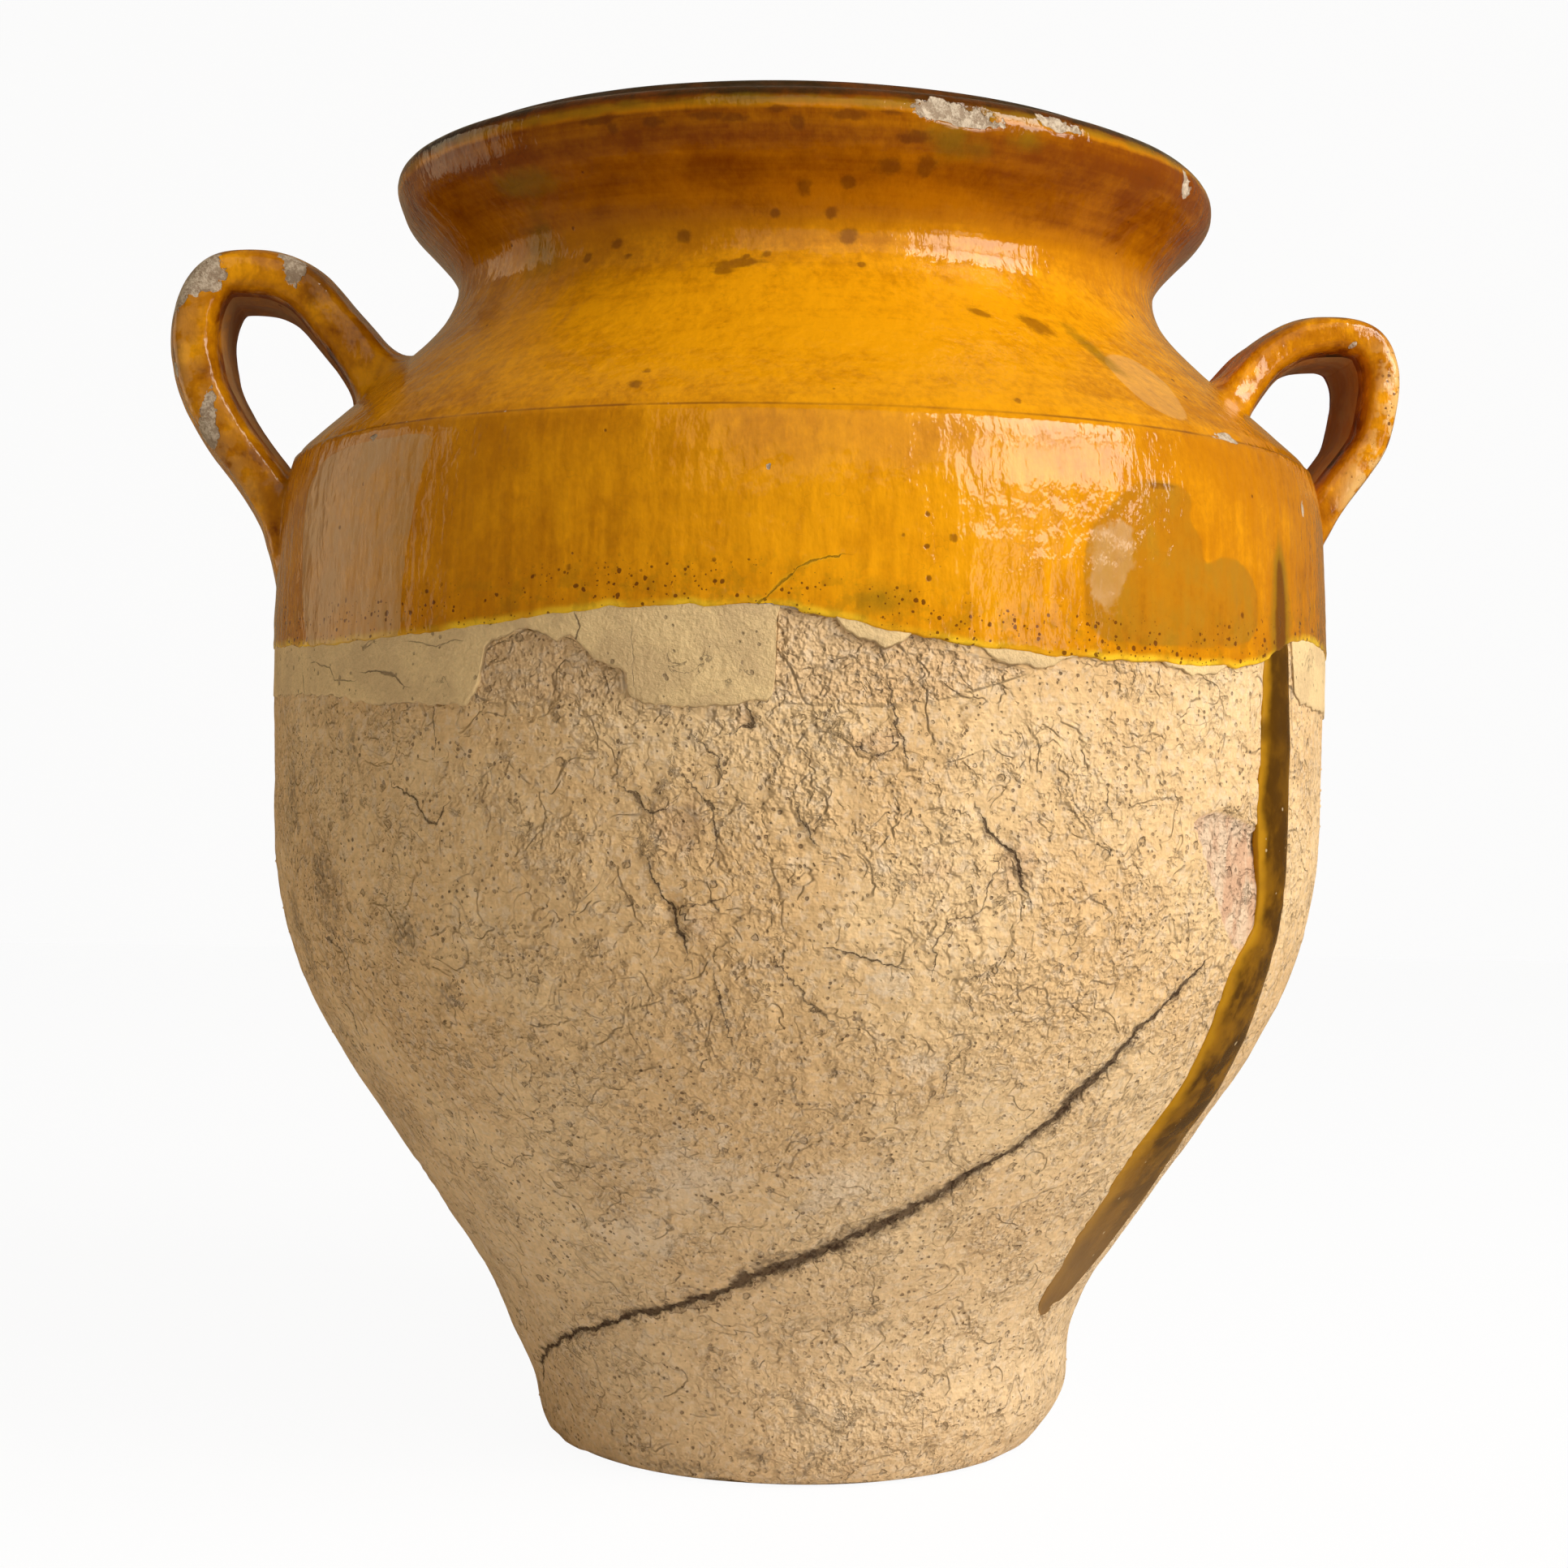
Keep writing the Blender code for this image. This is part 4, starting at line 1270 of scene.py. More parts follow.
class Workshop:
    """Geometry node trees that throw, roughen and sprinkle the pot's surfaces."""

    def __init__(self) -> None:
        """Build every tree once."""
        self.throwing = self.make_throwing()
        self.relief = self.make_relief()
        self.crumbs = self.make_crumbs()

    def make_throwing(self) -> bpy.types.NodeTree:
        """Turn a profile round the wheel's axis, crowded towards the front.

        Returns:
            The tree.
        """
        sockets = {"Around": 200, "Crowding": 0.5, "Front": 0.0}
        net, given = new_group("thrown_wall", sockets, ("Geometry",), "GeometryNodeTree")
        profile = given["Geometry"]
        count = net.add("GeometryNodeAttributeDomainSize", (profile,), component="MESH")["Point Count"]
        sides = {"Vertices X": given["Around"] + 1.0, "Vertices Y": count, "Size X": 1.0, "Size Y": 1.0}
        grid = net.add("GeometryNodeMeshGrid", sides)[0]
        place = net.add("GeometryNodeInputPosition")[0]
        x, y, _ = net.split(place)
        index = net.math("ROUND", (y + 0.5) * (count - 1.0))
        inputs = {0: profile, "Value": place, "Index": index}
        sample = net.add("GeometryNodeSampleIndex", inputs, data_type="FLOAT_VECTOR", domain="POINT")
        r, _, z = net.split(sample[0])
        wave = net.math("SINE", x * math.tau)
        share = net.math("DIVIDE", given["Crowding"], math.tau)
        turn = (x - wave * share) * math.tau + net.math("RADIANS", given["Front"])
        px = r * net.math("SINE", turn)
        py = r * (net.math("COSINE", turn) * -1.0)
        put = net.add("GeometryNodeSetPosition", {"Geometry": grid, "Position": net.join(px, py, z)})[0]
        merged = net.add("GeometryNodeMergeByDistance", {0: put, "Distance": 0.000002})[0]
        return self.finish(net, merged, given)

    def make_relief(self) -> bpy.types.NodeTree:
        """Hand-thrown unevenness everywhere, and lumps, flakes and pits where the clay is worn.

        Returns:
            The tree.
        """
        sockets = {"Wobble": 0.00035, "Ring Depth": 0.00012, "Lump Depth": 0.0, "Flake Depth": 0.0}
        sockets["Pit Depth"] = 0.0
        net, given = new_group("hand_thrown_relief", sockets, ("Geometry",), "GeometryNodeTree")
        place = net.add("GeometryNodeInputPosition")[0]
        x, y, _ = net.split(place)
        away = net.vector("NORMALIZE", net.join(x, y, 0.0))
        total = (net.noise(place, 22.0, 2.0) - 0.78) * given["Wobble"]
        groove = net.noise(net.vector("MULTIPLY", place, (0.08, 0.08, 1.0)), 190.0, 2.0) - 0.6
        total = total + groove * given["Ring Depth"]
        local = (net.noise(place, 75.0, 3.0) - 0.6) * given["Lump Depth"]
        flake = net.step(net.noise(place, 58.0, 5.0, 0.6, 0.35), 0.575, 0.595)
        local = local - flake * given["Flake Depth"]
        pit = net.cells(place, 95.0)
        chance = net.split(pit["Color"])[1]
        dip = net.step(pit["Distance"], 0.08, 0.2, 1.0, 0.0) * net.math("LESS_THAN", chance, 0.3)
        local = local - dip * given["Pit Depth"]
        total = total + local * self.worn(net)
        put = {"Geometry": given["Geometry"], "Offset": net.scaled(away, total)}
        return self.finish(net, net.add("GeometryNodeSetPosition", put)[0], given)

    def make_crumbs(self) -> bpy.types.NodeTree:
        """Small raised crumbs of grog and slip, scattered over the bare clay.

        Returns:
            The tree.
        """
        sockets = {"Density": 20000.0, "Size": 0.0004, "Seed": 7}
        net, given = new_group("clay_crumbs", sockets, ("Geometry",), "GeometryNodeTree")
        place = net.add("GeometryNodeInputPosition")[0]
        patchy = net.step(net.noise(place, 40.0, 2.0), 0.42, 0.62)
        density = given["Density"] * (patchy * self.worn(net))
        inputs = {"Mesh": given["Geometry"], "Density": density, "Seed": given["Seed"]}
        spread = net.add("GeometryNodeDistributePointsOnFaces", inputs, distribute_method="RANDOM")
        ball = net.add("GeometryNodeMeshIcoSphere", {"Radius": given["Size"], "Subdivisions": 1})[0]
        flat = net.add("GeometryNodeTransform", {"Geometry": ball, "Scale": (1.0, 0.8, 0.55)})[0]
        scale = net.add("FunctionNodeRandomValue", {2: 0.35, 3: 1.25}, data_type="FLOAT")[1]
        put = {"Points": spread["Points"], "Instance": flat, "Rotation": spread["Rotation"], "Scale": scale}
        return self.finish(net, net.add("GeometryNodeInstanceOnPoints", put)[0], given)

    def worn(self, net: Net) -> Value:
        """Share of relief that the surface has at each point.

        Args:
            net: net of a geometry tree.

        Returns:
            The mesh attribute relief.
        """
        made = net.add("GeometryNodeInputNamedAttribute", data_type="FLOAT")
        made.node.inputs["Name"].default_value = "relief"
        return made["Attribute"]

    def finish(self, net: Net, geometry: Value, given: Made) -> bpy.types.NodeTree:
        """End a tree in Realize Instances and Set Material.

        Args:
            net: net of the tree.
            geometry: geometry so far.
            given: group input node.

        Returns:
            The tree.
        """
        real = net.add("GeometryNodeRealizeInstances", (geometry,))[0]
        paint = net.add("GeometryNodeSetMaterial", {"Geometry": real, "Material": given["Material"]})[0]
        return net.end(Geometry=paint)


@dataclass
class Piece:
    """One visible piece of the pot: its object's name, its CAD node and its finish."""

    workshop: Workshop
    material: bpy.types.Material
    slot: str
    name: str = ""
    node: str = ""

    def throw(self, points: np.ndarray, around: int, crowding: float) -> bpy.types.Object:
        """Turn a profile into a closed wall.

        Args:
            points: profile as radius and height.
            around: number of columns.
            crowding: how much the columns crowd towards the front.

        Returns:
            The object.
        """
        line = np.stack([points[:, 0], 0 * points[:, 0], points[:, 1]], 1)
        mesh = bpy.data.meshes.new(self.name)
        mesh.from_pydata((line * MM).tolist(), [(i, i + 1) for i in range(len(points) - 1)], [])
        thing = linked(self.name, mesh)
        tree = self.workshop.throwing
        run_nodes(thing, tree, Around=around, Crowding=crowding, Front=FRONT, Material=self.material)
        outward(thing)
        return thing

    def settle(self, thing: bpy.types.Object) -> bpy.types.Object:
        """Tie a finished object to the frame and report it.

        Args:
            thing: the finished object.

        Returns:
            The same object.
        """
        if not thing.data.materials:
            thing.data.materials.append(self.material)
        thing.data.shade_smooth()
        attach(thing, "root")
        if self.node:
            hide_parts(self.node)
        count = sum(len(p.vertices) - 2 for p in thing.data.polygons)
        log.info("%s: %d triangles", thing.name, count)
        return thing

    def roughen(self, thing: bpy.types.Object, surface: Surface) -> bpy.types.Object:
        """Give a hand-made surface its relief, and settle it.

        Args:
            thing: the object.
            surface: what its surface is like.

        Returns:
            The same object.
        """
        worn = surface is Surface.WORN
        run_nodes(
            thing,
            self.workshop.relief,
            Wobble=0.0009,
            Ring_Depth=0.00035,
            Lump_Depth=0.0009 if worn else 0.0,
            Flake_Depth=0.00025 if worn else 0.0,
            Pit_Depth=0.0005 if worn else 0.0,
            Material=self.material,
        )
        return self.settle(thing)


# Edges and marks


GLAZE_EDGE = (
    (-180, 168.0), (-165, 170.5), (-148, 172.5), (-130, 170.0), (-112, 167.5), (-95, 168.5),
    (-85, 170.6), (-75.8, 170.1), (-58.4, 168.6), (-45, 169.4), (-37.8, 170.6), (-32.6, 171.7),
    (-29.4, 172.5), (-23.8, 173.6), (-19, 174.3), (-12.1, 174.3), (-5.6, 174.2), (-2.9, 173.4),
    (0.2, 171.8), (5.5, 169.9), (12.5, 167.9), (20.5, 166.8), (28.2, 166.5), (38.2, 166.5),
    (44.5, 166.9), (47.7, 168.1), (54.2, 172.8), (59.2, 173.9), (67.1, 173.1), (80, 171.0),
    (98, 168.0), (118, 170.0), (140, 172.0), (160, 169.0), (180, 168.0),
)
SLIP_EDGE = (
    (-180, 158.0), (-150, 160.0), (-139, 159.5), (-138, 166.0), (-134, 168.5), (-129, 165.0),
    (-128, 159.0), (-104, 158.0), (-92, 160.5), (-73.4, 159.8), (-66, 159.2), (-58, 158.5),
    (-50, 157.4), (-44, 156.8), (-36.4, 156.3), (-35.4, 158.6), (-35.0, 160.4), (-34.2, 167.2),
    (-31.8, 168.9), (-29.8, 170.1), (-28.2, 169.0), (-26.7, 168.3), (-25.2, 168.6), (-22.7, 164.7),
    (-20.3, 162.8), (-19.7, 161.6), (-19.5, 157.8), (-17.9, 156.1), (-12.4, 156.2), (-7.0, 156.6),
    (-6.5, 158.0), (-6.2, 162.1), (-6.6, 166.0), (-6.3, 171.2), (-5.6, 176.0), (-2.6, 176.0),
    (-1.2, 173.4), (-0.6, 171.3), (1.2, 168.7), (3.4, 166.9), (4.8, 168.0), (6.4, 170.6),
    (11.0, 169.6), (12.3, 167.4), (14.7, 165.4), (18.7, 164.6), (21.0, 166.2), (24.0, 168.6),
    (31.0, 168.4), (32.6, 165.6), (37.0, 164.6), (39.5, 165.2), (41.5, 167.6), (44.0, 170.0),
    (54.5, 174.5), (55.5, 163.0), (57.5, 160.4), (68.0, 159.6), (84.0, 158.2), (106.0, 160.0),
    (120.0, 158.0), (122.0, 163.0), (127.0, 164.0), (129.0, 158.4), (155.0, 157.0), (180, 158.0),
)
RUN_LEFT = (
    (33.0, 49.2), (34.5, 47.2), (37.0, 46.2), (47.6, 44.8), (57.4, 45.3), (70.6, 45.6), (83.3, 47.0),
    (99.0, 46.3), (108.0, 46.2), (112.5, 47.6), (115.8, 49.0), (124.0, 48.6), (138.6, 47.3),
    (155.0, 47.6), (168.0, 47.9), (176.0, 49.2),
)
RUN_RIGHT = (
    (33.0, 50.2), (34.5, 54.0), (37.0, 57.2), (45.0, 62.0), (57.0, 63.6), (71.1, 60.9), (83.1, 60.2),
    (98.7, 56.9), (113.3, 55.4), (124.6, 54.7), (138.6, 54.6), (155.0, 54.3), (168.0, 54.0),
    (176.0, 53.2),
)
CRACKS = (
    Crack(
        (
            (-69.0, 15.5), (-67.1, 17.9), (-61.2, 22.1), (-50.7, 27.6), (-35.8, 33.7), (-31.2, 36.1),
            (-23.1, 38.8), (-14.2, 43.1), (-10, 46.7), (-4.9, 49.2), (-0.6, 52), (8.6, 58.5),
            (15.1, 64.7), (19.9, 70.8), (23.9, 74.1), (27.2, 79.6), (29.5, 85.6), (32.4, 91.9),
            (33.7, 97.3), (36.9, 102), (40.2, 108.6),
        ),
        2.6, 1.0,
        (0.28, 0.28, 0.3, 0.32, 0.34, 0.38, 0.42, 0.5, 0.9, 0.75, 0.6, 1.05, 0.8, 0.38, 0.42, 0.8, 1.05,
         0.55, 0.35, 0.3, 0.2),
    ),
    Crack(((-17.8, 129.3), (-16.9, 124.9), (-15.9, 121.9), (-15.1, 118.9), (-14.4, 115.2), (-14.0, 112.1)),
          0.4, 0.95, (0.3, 0.6, 1.3, 1.4, 1.1, 0.3)),
    Crack(((-13.3, 141.7), (-12.5, 140.1), (-11.7, 138.1), (-11.6, 135.6), (-11.3, 133.2), (-11.7, 129.5)),
          0.3, 0.8, (0.6, 1.0, 1.2, 1.3, 1.0, 0.3)),
    Crack(((-19.8, 141.5), (-18.8, 140.2), (-18.2, 138.4), (-17.2, 137.6), (-15.9, 137.9), (-15.2, 139.1)),
          0.3, 0.75, (0.4, 1.4, 1.5, 0.9, 0.7, 0.4)),
    Crack(((-44.8, 140.8), (-42.8, 139.5), (-42.4, 137.9), (-41.3, 135.4), (-40.1, 133.9), (-39.1, 136.4)),
          0.26, 0.8),
    Crack(((-11.4, 106.0), (-11.2, 102.2), (-10.6, 97.7)), 0.22, 0.8),
    Crack(((-14.1, 120.8), (-12.2, 121.2), (-10.3, 122.8)), 0.2, 0.6),
    Crack(((-5.5, 109.4), (-3.7, 105.7), (-2.4, 101.9)), 0.22, 0.7),
    Crack(((-13.2, 150.8), (-12.3, 148.4), (-11.2, 147.8), (-11.0, 144.2)), 0.24, 0.75),
    Crack(((-8.5, 155.9), (-8.1, 152.8), (-9.3, 152.2)), 0.3, 0.85),
    Crack(((-62.9, 97.5), (-61.0, 95.0), (-62.0, 92.0)), 0.22, 0.6),
    Crack(((-60.5, 110.4), (-58.0, 108.6), (-57.7, 105.9)), 0.23, 0.7),
    Crack(((-40.4, 153.6), (-40.1, 149.8)), 0.22, 0.7),
    Crack(
        (
            (12.6, 137.5), (13.3, 134.9), (14.7, 133.0), (15.8, 131.0), (16.6, 128.4), (17.1, 125.1),
            (17.7, 122.2),
        ),
        0.43, 1.0, (0.6, 1.6, 0.9, 1.1, 1.7, 0.8, 0.3),
    ),
    Crack(((13.2, 122.4), (13.5, 125.1), (14.2, 127.1)), 0.18, 0.7),
    Crack(((1.3, 149.1), (2.8, 148.4), (4.4, 149.6)), 0.22, 0.8),
    Crack(((3.9, 159.9), (4.5, 154.8), (5.0, 151.6), (5.5, 148.4)), 0.22, 0.85),
    Crack(((-4.2, 139.3), (-3.7, 136.4), (-3.0, 134.5), (-2.2, 131.9)), 0.24, 0.8, (0.5, 1.4, 1.0, 0.5)),
    Crack(((-0.2, 113.1), (1.7, 112.1), (3.4, 110.8), (5.1, 110.2)), 0.26, 0.8),
    Crack(((9.0, 110.6), (9.0, 115.2), (9.9, 118.8), (12.3, 119.8)), 0.17, 0.7),
    Crack(((25.5, 141.8), (25.4, 139.8), (26.2, 137.9)), 0.2, 0.8),
    Crack(((-4.3, 108.3), (-2.9, 103.6), (-0.8, 100.3)), 0.19, 0.6),
    Crack(((12.0, 86.9), (11.9, 91.3), (12.8, 93.3)), 0.19, 0.6),
    Crack(((21.2, 142.4), (22.0, 140.4), (23.7, 135.4)), 0.17, 0.6),
    Crack(((120.0, 12.0), (132.0, 40.0), (139.0, 66.0), (150.0, 82.0), (158.0, 104.0)), 0.36, 0.9),
    Crack(((-152.0, 138.0), (-149.0, 130.0), (-150.0, 121.0), (-146.0, 114.0)), 0.36, 0.9),
    Crack(((96.0, 128.0), (98.5, 122.0), (97.0, 115.0)), 0.32, 0.85),
    Crack(((-104.0, 96.0), (-101.0, 88.0), (-103.0, 80.0)), 0.32, 0.8),
)
RAW_CHIP = (
    (36.5, 137.1), (38.0, 138.6), (40.3, 139.5), (43.5, 138.4), (46.6, 136.9), (48.9, 135.4),
    (49.2, 124.8), (49.2, 115.8), (47.3, 110.9), (45.0, 112.8), (43.0, 116.2), (41.0, 122.0),
    (39.3, 128.0), (38.2, 132.0),
)
STAINS = (
    Blob(-67.7, 138.2, 7.0, 9.0), Blob(-52.8, 148.6, 3.4, 6.0), Blob(-54.3, 136.7, 3.0, 4.0),
    Blob(-45.8, 113.3, 8.0, 6.0, -30.0), Blob(-59.2, 122.1, 10.0, 13.0), Blob(-41.4, 101.3, 6.0, 4.0),
    Blob(-70.0, 112.0, 8.0, 16.0), Blob(2.2, 36.5, 6.0, 3.0), Blob(10.6, 35.2, 5.0, 2.4),
    Blob(-11.0, 7.1, 3.6, 3.0), Blob(25.6, 7.5, 3.2, 4.0), Blob(-7.8, 50.4, 5.0, 1.8, 20.0),
    Blob(-1.7, 15.6, 1.6, 5.0), Blob(-30.0, 3.0, 14.0, 2.4), Blob(110.0, 120.0, 16.0, 12.0),
    Blob(165.0, 90.0, 14.0, 18.0), Blob(-140.0, 60.0, 14.0, 10.0),
)
BLOOMS = (
    Blob(-16.6, 68.0, 16.0, 11.0, 25.0), Blob(-26.0, 55.0, 12.0, 8.0), Blob(2.0, 66.0, 14.0, 7.0, 20.0),
    Blob(9.0, 92.0, 5.0, 4.0), Blob(5.0, 108.0, 5.0, 4.0), Blob(3.6, 128.0, 3.0, 2.2),
    Blob(18.0, 121.5, 3.0, 2.0), Blob(150.0, 50.0, 16.0, 10.0),
)
BLUSHES = (
    Blob(-14.8, 134.6, 7.0, 6.0, 20.0), Blob(16.0, 129.0, 4.5, 9.0, -25.0), Blob(-8.7, 153.7, 4.0, 3.0),
    Blob(3.0, 150.0, 7.0, 4.0), Blob(-12.5, 117.0, 4.0, 5.0), Blob(8.0, 127.0, 6.0, 3.0, 20.0),
    Blob(140.0, 130.0, 20.0, 14.0), Blob(-150.0, 110.0, 14.0, 18.0),
)
PITS = (
    Blob(14.7, 131.9, 2.6, 4.6, -25.0), Blob(-15.6, 120.0, 2.4, 4.2, -20.0), Blob(-14.8, 134.6, 5.0, 5.0),
    Blob(-8.7, 153.7, 1.9, 1.7), Blob(-11.0, 7.1, 2.6, 2.0), Blob(25.6, 7.5, 2.0, 3.0),
    Blob(-130.0, 130.0, 7.0, 6.0), Blob(150.0, 120.0, 6.0, 8.0),
)
GLAZE_SPOTS = (
    Blob(-28.8, 268.5, 1.6, 1.4), Blob(-23.3, 268.9, 3.0, 1.5), Blob(-16.6, 269.4, 5.0, 1.0),
    Blob(-5.4, 267.9, 1.8, 2.0), Blob(0.5, 269.6, 5.5, 1.3), Blob(9.0, 266.5, 4.0, 1.6),
    Blob(32.0, 199.9, 5.2, 0.8), Blob(-7.6, 270.4, 3.0, 0.9), Blob(-13.0, 268.8, 3.4, 1.2),
    Blob(-30.0, 270.2, 6.0, 1.0), Blob(6.0, 270.3, 3.0, 0.8),
    Blob(-13.5, 243.6, 8.0, 1.2, 3.0), Blob(-15.5, 242.0, 3.0, 1.0), Blob(-32.9, 249.3, 1.9, 1.4),
    Blob(-22.0, 249.8, 2.2, 1.8), Blob(-8.6, 253.6, 1.2, 1.2), Blob(-4.6, 257.7, 1.9, 1.7),
    Blob(1.4, 258.8, 1.9, 1.7), Blob(-0.6, 253.7, 1.7, 1.6), Blob(1.8, 249.6, 2.2, 2.2),
    Blob(-9.7, 245.4, 1.5, 1.1), Blob(-12.6, 245.0, 1.0, 0.9), Blob(6.5, 261.6, 3.2, 2.4),
    Blob(11.3, 262.0, 2.6, 2.2), Blob(26.1, 232.7, 4.2, 2.6, -25.0), Blob(18.5, 234.2, 2.8, 1.2, -15.0),
    Blob(-20.8, 215.8, 1.9, 1.1), Blob(-20.2, 218.6, 1.2, 0.7), Blob(16.9, 213.9, 1.0, 0.8),
    Blob(-38.0, 247.2, 1.4, 1.6), Blob(-30.6, 246.4, 1.2, 0.8), Blob(3.6, 243.6, 1.2, 0.9),
    Blob(110.0, 262.0, 3.0, 2.0), Blob(132.0, 247.0, 5.0, 1.6), Blob(170.0, 232.0, 4.0, 2.4),
    Blob(-150.0, 258.0, 3.0, 2.0), Blob(-120.0, 222.0, 3.0, 1.4), Blob(150.0, 196.0, 2.4, 2.0),
    Blob(-100.0, 268.0, 4.0, 1.4), Blob(9.5, 187.5, 1.0, 0.9), Blob(-25.4, 181.5, 1.0, 0.9),
)
GLAZE_OLIVE = (
    Blob(14.0, 266.0, 11.0, 4.0, -12.0), Blob(24.0, 268.0, 6.0, 3.0), Blob(33.0, 228.0, 3.0, 10.0, 28.0),
    Blob(-47.0, 250.0, 7.0, 9.0), Blob(-46.0, 262.0, 12.0, 3.0), Blob(0.0, 272.2, 260.0, 1.6),
    Blob(3.0, 176.0, 8.0, 5.0), Blob(140.0, 262.0, 12.0, 5.0), Blob(-120.0, 240.0, 8.0, 8.0),
)
GLAZE_CHIPS = (
    Blob(15.0, 271.4, 9.0, 2.4, -4.0), Blob(12.6, 273.0, 4.0, 1.4), Blob(28.5, 272.4, 3.6, 1.4, -8.0),
    Blob(31.5, 272.2, 2.2, 1.0), Blob(57.5, 269.0, 2.2, 3.0, 10.0), Blob(43.7, 211.9, 3.6, 1.0, -8.0),
    Blob(59.3, 200.9, 1.0, 2.0), Blob(-52.0, 209.2, 1.2, 0.8), Blob(-18.0, 172.6, 0.9, 0.7),
    Blob(-6.2, 174.3, 4.6, 0.45, -6.0), Blob(150.0, 277.0, 8.0, 2.2), Blob(-110.0, 276.4, 5.0, 1.6),
    Blob(-150.0, 211.0, 4.0, 1.0), Blob(120.0, 211.4, 3.0, 1.0), Blob(-7.2, 199.5, 0.6, 0.6),
)
# Glaze tone by height. Its dip between 256 and 271 mm, under the collar that flares out and faces down, is
# partly deeper glaze and partly painted shade.
TONES = (
    (160.0, 0.74), (172.0, 0.78), (182.0, 0.84), (196.0, 0.86), (208.0, 0.82), (212.0, 0.90), (222.0, 0.95),
    (236.0, 0.94), (244.0, 0.81), (250.0, 0.62), (256.0, 0.38), (262.0, 0.23), (270.4, 0.20), (270.9, 0.30),
    (271.3, 0.62), (271.9, 0.62), (272.3, 0.34), (272.8, 0.0), (273.6, -0.25), (280.0, -0.38),
)
TONES_ROUND = (
    (-180.0, -0.06), (-70.0, -0.24), (-40.0, -0.20), (-22.0, -0.08), (-4.0, 0.0), (14.0, 0.0), (36.0, -0.24),
    (56.0, -0.36), (75.0, -0.35), (180.0, -0.06),
)
# Outline of a dull patch on the left of the band: partly matte worn glaze, partly painted window reflection.
DULL_PATCH = (
    (-66.0, 195.0), (-65.0, 203.4), (-61.6, 207.4), (-55.0, 208.6), (-41.7, 208.9), (-42.6, 204.2),
    (-43.3, 198.0), (-44.2, 190.0), (-44.8, 178.0), (-44.8, 166.0), (-62.0, 166.0), (-64.6, 178.5),
)
THICK_PATCH = (
    (27.6, 199.6), (29.0, 201.2), (34.8, 201.4), (36.0, 197.6), (35.4, 194.0), (37.4, 190.6), (37.2, 186.0),
    (39.5, 188.2), (43.6, 188.0), (46.4, 183.0), (46.6, 171.5), (37.0, 169.3), (28.5, 169.4), (23.0, 170.0),
    (22.0, 180.0), (22.6, 190.0), (24.8, 195.0),
)
# Outline of a painted window reflection on the right shoulder.
REFLECTION_WEDGE = (
    (32.9, 227.3), (36.9, 229.1), (39.8, 228.0), (41.9, 224.8), (41.0, 219.7), (38.5, 213.3),
    (35.2, 214.0), (33.2, 217.2), (32.5, 221.8),
)
# Outline of a painted window reflection at the left side of the thick patch.
REFLECTION_VEIL = (
    (24.6, 194.4), (28.8, 193.4), (28.6, 184.0), (26.8, 174.0), (23.0, 171.0), (22.0, 181.0), (22.8, 190.0),
)


def glaze_tone(angle: np.ndarray, z: np.ndarray) -> np.ndarray:
    """How light the glaze is at a place on the wall.

    Args:
        angle: angles of the points.
        z: heights of the points.

    Returns:
        Array of tones, from 0 for deep brown to 1 for gold.
    """
    table = np.array(TONES)
    share = 0.4 + 0.6 * smooth(246.0, 214.0, z)
    return np.interp(z, table[:, 0], table[:, 1]) + share * read_round(TONES_ROUND, angle)


def read_round(knots: tuple, angle: np.ndarray) -> np.ndarray:
    """Values at some angles of a line that is given as knots of angle and value."""
    table = np.array(knots, float)
    return np.interp(wrapped(angle), table[:, 0], table[:, 1])


def glaze_edge(angle: np.ndarray) -> np.ndarray:
    """Height of the glaze's lower edge with its small irregularities."""
    fine = 0.28 * wiggle(angle, 1.1, 3) + 0.22 * wiggle(angle, 3.1, 5) + 0.12 * wiggle(angle, 0.45, 8)
    return sum(read_round(GLAZE_EDGE, angle + turn) for turn in (-1.5, 0.0, 1.5)) / 3 + fine


# Pieces


